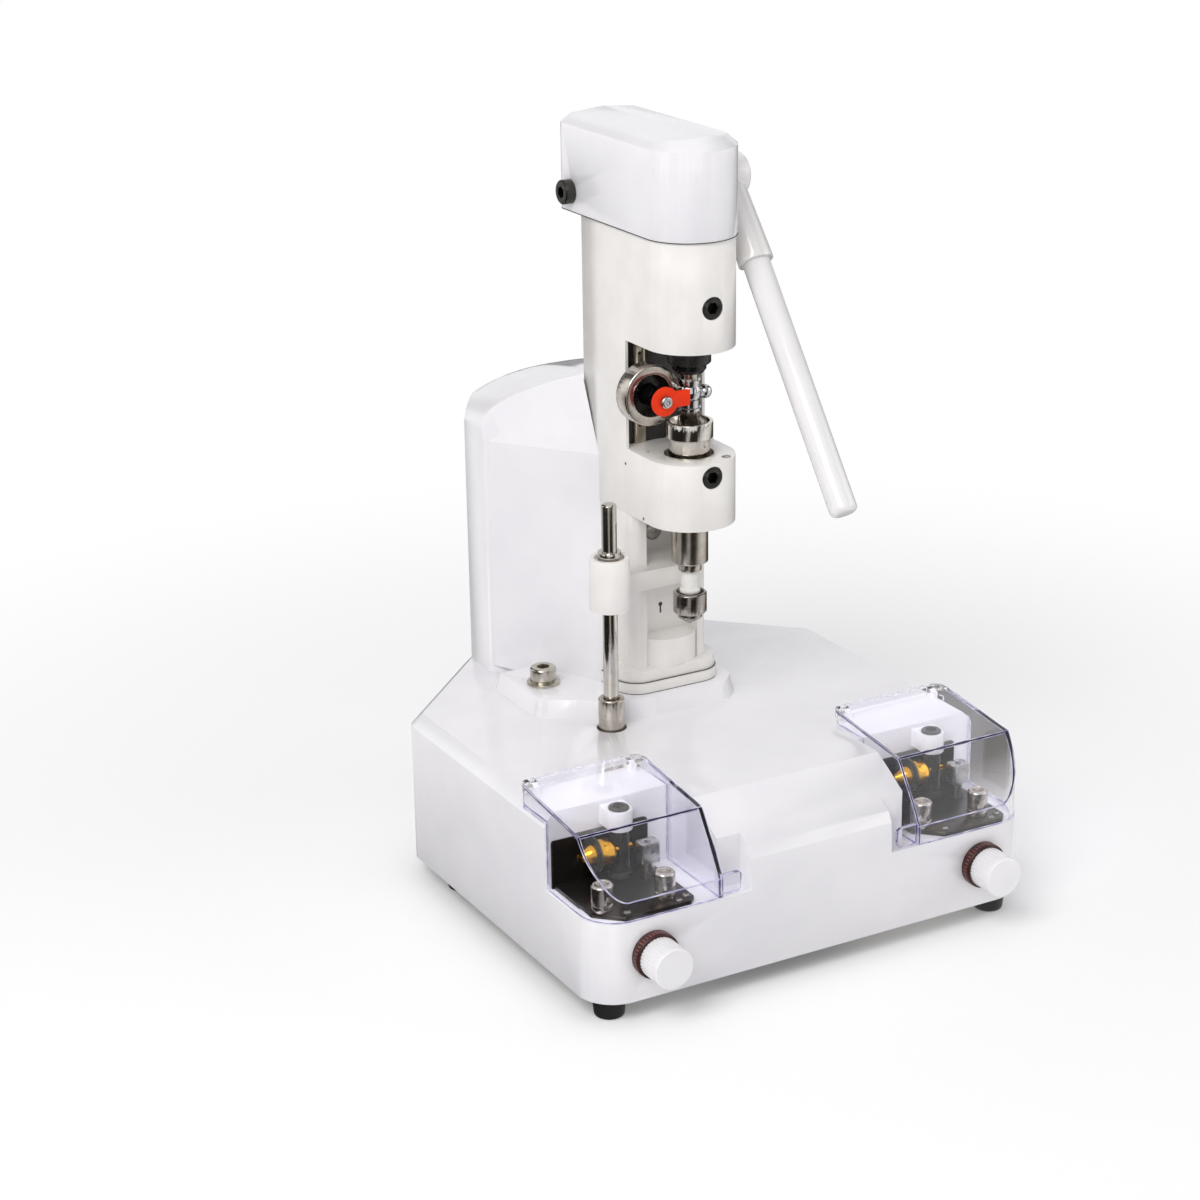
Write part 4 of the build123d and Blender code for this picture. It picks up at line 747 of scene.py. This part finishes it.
class LENSDRILL_OT_rods(bpy.types.Operator):
    """Finishes the guide rod, its collar and bushes, the quill and the chuck."""

    bl_idname = "lensdrill.rods"
    bl_label = "Rod, quill and chuck"

    def execute(self, context):
        # Ground bearing steel: bright, with fine rings and a soft long highlight.
        ground = turned_metal("bearing steel, ground", "d2cec8", "b7b2ab", roughness=0.13, step_mm=0.5,
                              bump=0.1)
        dress(["guide_rod", "guide_bushes"], ground, 0.15)
        # Turned free-cutting steel: slightly darker and more ringed than ground steel.
        turned_steel = turned_metal("steel, turned", "cbc5bc", "aaa49b", roughness=0.2, step_mm=0.8)
        dress(["rod_collar", "quill_tube", "quill_bush", "spindle_collar"], turned_steel, 0.25)
        # The chuck is turned and left bare, in a darker tone than the other turned steel. Its marks run
        # round the spindle.
        spindle = middle("quill_tube")
        spindle.z = 0
        chuck = turned_metal("steel, turned, darker tone", "b9b3ac", "928c86", roughness=0.17, step_mm=0.7,
                             centre=spindle)
        dress(["chuck_body", "chuck_nose", "chuck_jaws"], chuck, 0.25)
        # Polished steel cup: nearly a mirror, only clouded by handling.
        polished = turned_metal("steel, polished", "e0ddd7", "c4c0ba", roughness=0.1, step_mm=0.9,
                                centre=spindle, bump=0.1)
        dress(["quill_cap"], polished, 0.3)
        # Acetal sleeve: dense white, dull beside the paint.
        acetal = matt_solid("acetal, turned white", "e9e8e4", "dddbd6", roughness=0.4, texture_mm=0.5,
                            bump=0.1)
        dress(["insulating_sleeve"], acetal, 0.3)
        return {"FINISHED"}


class LENSDRILL_OT_throat(bpy.types.Operator):
    """Finishes what shows in the head's throat: plate, strip, stop ring, tab, feed bush and clevis."""

    bl_idname = "lensdrill.throat"
    bl_label = "Throat"

    def execute(self, context):
        # Faced on a lathe: the marks run round the ring's own axis.
        ring = turned_metal("steel, faced ring", "dad4cc", "bdb6ad", roughness=0.22, step_mm=0.8, axis="y",
                            centre=middle("stop_ring"), bump=0.2)
        dress(["stop_ring"], ring, 0.4)
        # Surface-ground strip: the hair lines run up it.
        strip = brushed_plate("steel, ground strip", "c9bfae", "a39a8b", roughness=0.3,
                              direction=(1, 1, 0.03))
        dress(["rail_strip"], strip, 0.15)
        # Black oxide: the dark skin of machined steel, worn bright on its edges. On the throat plate the
        # black is also painted shade, for the dark deep in the throat.
        black = black_oxide("steel, black oxide, and painted throat shade", "090909", "050505", roughness=0.26)
        dress(["throat_plate", "feed_bush", "stop_shaft", "socket_plugs", "station_posts", "post_caps",
               "cutter_left", "cutter_right"], black, 0.25)
        # Chrome: a hard mirror with a cool cast.
        chrome = plain_metal("steel, polished chrome plate", "d8d8da", "bcbcc0", roughness=0.07)
        dress(["feed_clevis", "tab_screw"], chrome, 0.2)
        # PVC, stamped from sheet: signal red, with little gloss.
        red = matt_solid("PVC sheet, signal red", "f23a0a", "e63205", roughness=0.5, texture_mm=0.8,
                         bump=0.06)
        red.node_tree.nodes["Principled BSDF"].inputs["Specular IOR Level"].default_value = 0.25
        dress(["stop_tab"], red, 0.2)
        return {"FINISHED"}


class LENSDRILL_OT_stations(bpy.types.Operator):
    """Finishes both stations: tables, back panels, roller posts, blocks and brass collets."""

    bl_idname = "lensdrill.stations"
    bl_label = "Front stations"

    def execute(self, context):
        # Blackened steel sheet, brushed across: grey gloss with hair lines, painted lighter on the tables
        # for the light they catch.
        plate = brushed_plate("blackened steel sheet, painted lighter where lit", "5c5753", "3c3936", roughness=0.28)
        dress(["table_left", "table_right"], plate, 0.3)
        # The panels behind are the same sheet, glossier, and painted darker for the shade they stand in.
        panel = brushed_plate("blackened steel sheet, painted darker in shade", "2e2b29", "191716", roughness=0.22)
        dress(["back_panels"], panel, 0.2)
        # Turned posts: bright, with coarser rings.
        post = turned_metal("steel, turned post", "d0cbc4", "aca69f", roughness=0.16, step_mm=0.9)
        dress(["roller_posts"], post, 0.3)
        # Satin chrome on cast blocks: silver grey, cloudier than the polished posts.
        satin = plain_metal("cast block, satin chrome plate", "c9c8c8", "a3a2a3", roughness=0.24, cloud_mm=4)
        dress(["stop_blocks"], satin, 0.8)
        # Brass, turned and faceted: warm yellow gloss.
        brass = turned_metal("brass, turned", "f0b53c", "cf9228", roughness=0.2, step_mm=0.6, axis="x")
        dress(["collet_left", "collet_right", "lever_bushes"], brass, 0.25)
        return {"FINISHED"}


class LENSDRILL_OT_fasteners(bpy.types.Operator):
    """Finishes the lock screw and washer, feet, pins, bottom plate and the lever's hidden drive."""

    bl_idname = "lensdrill.fasteners"
    bl_label = "Screws, pins and feet"

    def execute(self, context):
        # Zinc plate, bright: silver with a faint yellow, lightly clouded.
        zinc = plain_metal("steel, bright zinc plate", "cfcac0", "aaa59b", roughness=0.17, cloud_mm=5)
        dress(["lock_screw", "lock_washer", "foot_screws", "hinge_pins", "lever_shaft", "drive_pinion",
               "feed_rack"], zinc, 0.2)
        # Galvanised sheet: dull grey with large clouds.
        galvanised = plain_metal("steel sheet, galvanised", "a9aaa8", "8b8c8a", roughness=0.35, cloud_mm=25)
        dress(["bottom_plate"], galvanised, 0.2)
        # Moulded rubber: black with a sooty bloom.
        rubber = matt_solid("rubber, moulded black", "141315", "0c0b0c", roughness=0.55, texture_mm=0.9,
                            bump=0.2)
        dress(["rubber_feet"], rubber, 0.5)
        return {"FINISHED"}


class LENSDRILL_OT_small_screws(bpy.types.Operator):
    """Adds the small screws and holes of the tables, the head and the column, and the niche's cap."""

    bl_idname = "lensdrill.small_screws"
    bl_label = "Small screws and holes"

    def execute(self, context):
        sizes = context.scene.lens_drill_sizes
        # Nickel plate on small screws: silver with a warm cast.
        bright = plain_metal("steel screw, nickel plated", "b5b2ad", "85827d", roughness=0.2, cloud_mm=3)
        # Black oxide, also painted shade for the unlit insides of slots and holes.
        dark = black_oxide("black oxide screws, and painted shade in holes", "141312", "090909", roughness=0.3)
        self.add_table_screws(sizes.plate_screw / 2, bright, dark)
        self.add_head_details(bright, dark)
        self.add_column_details(sizes.keyhole / 2, bright, dark)
        return {"FINISHED"}

    def add_table_screws(self, radius, bright, dark):
        """Round-head screws on both station tables, each with a cross recess."""
        dome = [(0, 0.9), (radius * 0.5, 0.8), (radius * 0.85, 0.5), (radius, 0.1), (radius, 0)]
        places = ((19, 6), (54, 4.5), (61, 8))
        recess_turn, recess_height = 25, 0.55 * MM
        for side in ("left", "right"):
            low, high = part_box(f"table_{side}")
            heads = bmesh.new()
            slots = bmesh.new()
            for inset_x, inset_y in places:
                spot = Vector((low.x + inset_x * MM, low.y + inset_y * MM, high.z))
                turned(heads, dome, spot, "z", 24)
                # The cross recess is a dark cross of painted shade, laid on the dome.
                lift = Matrix.Translation(spot + Vector((0, 0, recess_height)))
                for angle in (recess_turn, recess_turn + 90):
                    turn = Matrix.Rotation(math.radians(angle), 4, "Z")
                    prism(slots, bar(1.1, -0.18, 0.18), lift @ turn, 0.38)
            add_piece(f"table_screws_{side}", finish_mesh(heads, "screws"), "base", bright)
            add_piece(f"table_screw_slots_{side}", finish_mesh(slots, "slots"), "base", dark)

    def add_head_details(self, bright, dark):
        """A slotted screw on the head's lower block, and three threaded holes left open."""
        block_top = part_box("throat_plate")[0].z
        face_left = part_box("head_casting")[0].x
        screw_x, screw_y = 0.016, -0.0185
        bm = bmesh.new()
        turned(bm, [(0, 0.5), (2.6, 0.5), (3.0, 0.2), (3.0, 0)], (screw_x, screw_y, block_top), "z", 28)
        add_piece("block_screw", finish_mesh(bm, "block_screw"), "base", bright)
        bm = bmesh.new()
        # The slot and the three open holes are dark marks of painted shade.
        slot = Matrix.Translation((screw_x, screw_y, block_top + 0.45 * MM))
        prism(bm, bar(2.4, -0.3, 0.3), slot, 0.1)
        turned(bm, disc(0.8, 0.06), (-0.0215, 0.0165, block_top), "z", 16)
        for y, z in ((0.0317, 0.2875), (0.0090, 0.2563)):
            turned(bm, disc(1.0, 0.06), (face_left, y, z), "x", 16, -1)
        add_piece("open_holes", finish_mesh(bm, "open_holes"), "base", dark)

    def add_column_details(self, keyhole_radius, bright, dark):
        """Two set screws and a keyhole in the column's back wall, and the bright cap in its niche."""
        back, niche_back = frame_mm(0, 197, 0).y, frame_mm(0, 214, 0).y
        keyhole_x = -0.0009
        bm = bmesh.new()
        # The set screws are flat dark discs of black oxide with painted shade in their sockets; the keyhole
        # is painted shade.
        for x, z in ((-1.2, 197.6), (3.8, 197.0)):
            turned(bm, disc(1.1, 0.05), (x * MM, back, z * MM), "y", 16, -1)
        turned(bm, disc(keyhole_radius, 0.05), (keyhole_x, back, 0.1835), "y", 20, -1)
        upright = Matrix.Translation((keyhole_x, back, 0.1795)) @ Matrix.Rotation(math.pi / 2, 4, "X")
        prism(bm, bar(0.6, -2.2, 3), upright, 0.06)
        add_piece("column_holes", finish_mesh(bm, "column_holes"), "base", dark)
        cap = [(1.5, 0.1), (1.5, 0.8), (5.2, 0.8), (6, 0.2), (6, 0)]
        bm = bmesh.new()
        turned(bm, cap, (0.004, niche_back, 0.229), "y", 32, -1)
        add_piece("niche_cap", finish_mesh(bm, "niche_cap"), "base", bright)


class LENSDRILL_OT_seams(bpy.types.Operator):
    """Adds the dark joint lines under the cap, and over and under the plinth."""

    bl_idname = "lensdrill.seams"
    bl_label = "Joint lines"

    def execute(self, context):
        sizes = context.scene.lens_drill_sizes
        # The gap between two parts: no more than a matt dark line.
        shadow = matt_solid("joint, unlit gap", "3a3733", "2a2826", roughness=0.7, texture_mm=1.0, bump=0.05)
        for node, name, top in (("head_cap", "cap_seam", False), ("column_plinth", "plinth_seam", True),
                                ("column_plinth", "pedestal_seam", False)):
            low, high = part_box(node)
            height = high.z if top else low.z
            mesh = ridge_lines(node, at_height(height), sizes.seam / 2, name)
            add_piece(name, mesh, "base", shadow)
        return {"FINISHED"}


class LENSDRILL_OT_clevis_details(bpy.types.Operator):
    """Adds the turned knuckle, collars and pin end of the feed clevis, and the sleeve of the ring's axle."""

    bl_idname = "lensdrill.clevis_details"
    bl_label = "Clevis and axle details"

    def execute(self, context):
        # Chrome on small turned parts: a mirror with larger clouds than the clevis itself.
        chrome = plain_metal("steel, chromed knuckle", "dcdcde", "b4b4b8", roughness=0.06, cloud_mm=8)
        # Neck collar, round knuckle and foot flange, all turned about the feed rod's axis.
        knuckle = frame_mm(0, 160, 338.5)
        bm = bmesh.new()
        for outline in ([(6.4, 6), (7.2, 6.4), (7.2, 8.6), (6.0, 9.0)],
                        ball_zone(7.9, -48, 8, 13),
                        [(6.2, -11.2), (7.4, -11.4), (7.4, -9.6), (6.2, -9.2)]):
            turned(bm, outline, knuckle, "z", 40)
        # Ball end of the cross pin on the right.
        tip = frame_mm(0, 160, 337.5)
        tip.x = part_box("feed_clevis")[1].x
        turned(bm, ball_zone(4.6, -60, 15, 11, -2.6), tip, "x", 32)
        add_piece("clevis_knuckle", finish_mesh(bm, "clevis_knuckle"), "quill", chrome)
        # Stepped sleeve on the end of the ring's axle, from the tab's rear face on.
        ring = middle("stop_ring")
        tab_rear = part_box("stop_tab")[1].y
        sleeve = [(4.5, 0.1), (5.4, 0.3), (5.4, 4.0), (5.0, 4.3), (5.0, 5.2), (6.4, 5.4), (6.4, 7.6),
                  (4.6, 7.8)]
        bm = bmesh.new()
        turned(bm, sleeve, (ring.x, tab_rear, ring.z), "y", 40)
        add_piece("axle_sleeve", finish_mesh(bm, "axle_sleeve"), "base", chrome)
        return {"FINISHED"}


class LENSDRILL_OT_inner_parts(bpy.types.Operator):
    """Finishes the quill's motor, and the motors, transformer and speed controls inside the base."""

    bl_idname = "lensdrill.inner_parts"
    bl_label = "Inner parts"

    def execute(self, context):
        # Deep-drawn motor cans: plated, plain and a little cloudy.
        can = plain_metal("steel can, nickel plated", "a8a6a1", "86847f", roughness=0.25, cloud_mm=10)
        dress(["quill_motor", "station_motors"], can, 0.3)
        # Stacked laminations under varnish: brown and rough.
        core = matt_solid("steel laminations, varnished", "4a4640", "35312c", roughness=0.45,
                          texture_mm=0.8, bump=0.3)
        dress(["power_transformer"], core, 0.3)
        # Phenolic housings: black and dull.
        phenolic = matt_solid("phenolic, moulded black", "1d1a18", "12100f", roughness=0.4,
                              texture_mm=0.8, bump=0.1)
        dress(["speed_controls"], phenolic, 0.3)
        return {"FINISHED"}


class LENSDRILL_PT_sidebar(bpy.types.Panel):
    """Lists the settings and the operators."""

    bl_idname = "LENSDRILL_PT_sidebar"
    bl_label = "Lens drilling machine"
    bl_space_type = "VIEW_3D"
    bl_region_type = "UI"
    bl_category = "Lens drill"

    def draw(self, context):
        layout = self.layout
        for settings in (context.scene.lens_drill_sizes, context.scene.lens_drill_colours):
            box = layout.box()
            for name in type(settings).__annotations__:
                box.prop(settings, name)
        for operator in OPERATORS:
            layout.operator(operator.bl_idname)


OPERATORS = (
    LENSDRILL_OT_stage,
    LENSDRILL_OT_mouldings,
    LENSDRILL_OT_tower_cheeks,
    LENSDRILL_OT_castings,
    LENSDRILL_OT_lever,
    LENSDRILL_OT_knobs,
    LENSDRILL_OT_covers,
    LENSDRILL_OT_rods,
    LENSDRILL_OT_throat,
    LENSDRILL_OT_stations,
    LENSDRILL_OT_fasteners,
    LENSDRILL_OT_small_screws,
    LENSDRILL_OT_seams,
    LENSDRILL_OT_clevis_details,
    LENSDRILL_OT_inner_parts,
)
CLASSES = (LensDrillSizes, LensDrillColours) + OPERATORS + (LENSDRILL_PT_sidebar,)


def register():
    """Registers the classes and hangs the settings on the scene."""
    for cls in CLASSES:
        bpy.utils.register_class(cls)
    bpy.types.Scene.lens_drill_sizes = PointerProperty(type=LensDrillSizes)
    bpy.types.Scene.lens_drill_colours = PointerProperty(type=LensDrillColours)


def unregister():
    """Takes the settings off the scene and removes the classes."""
    del bpy.types.Scene.lens_drill_colours
    del bpy.types.Scene.lens_drill_sizes
    for cls in reversed(CLASSES):
        bpy.utils.unregister_class(cls)


def main():
    """Runs every operator in order."""
    register()
    for operator in OPERATORS:
        group, name = operator.bl_idname.split(".")
        if getattr(getattr(bpy.ops, group), name)() != {"FINISHED"}:
            raise RuntimeError(f"{operator.bl_label} did not finish")


if __name__ == "__main__":
    main()
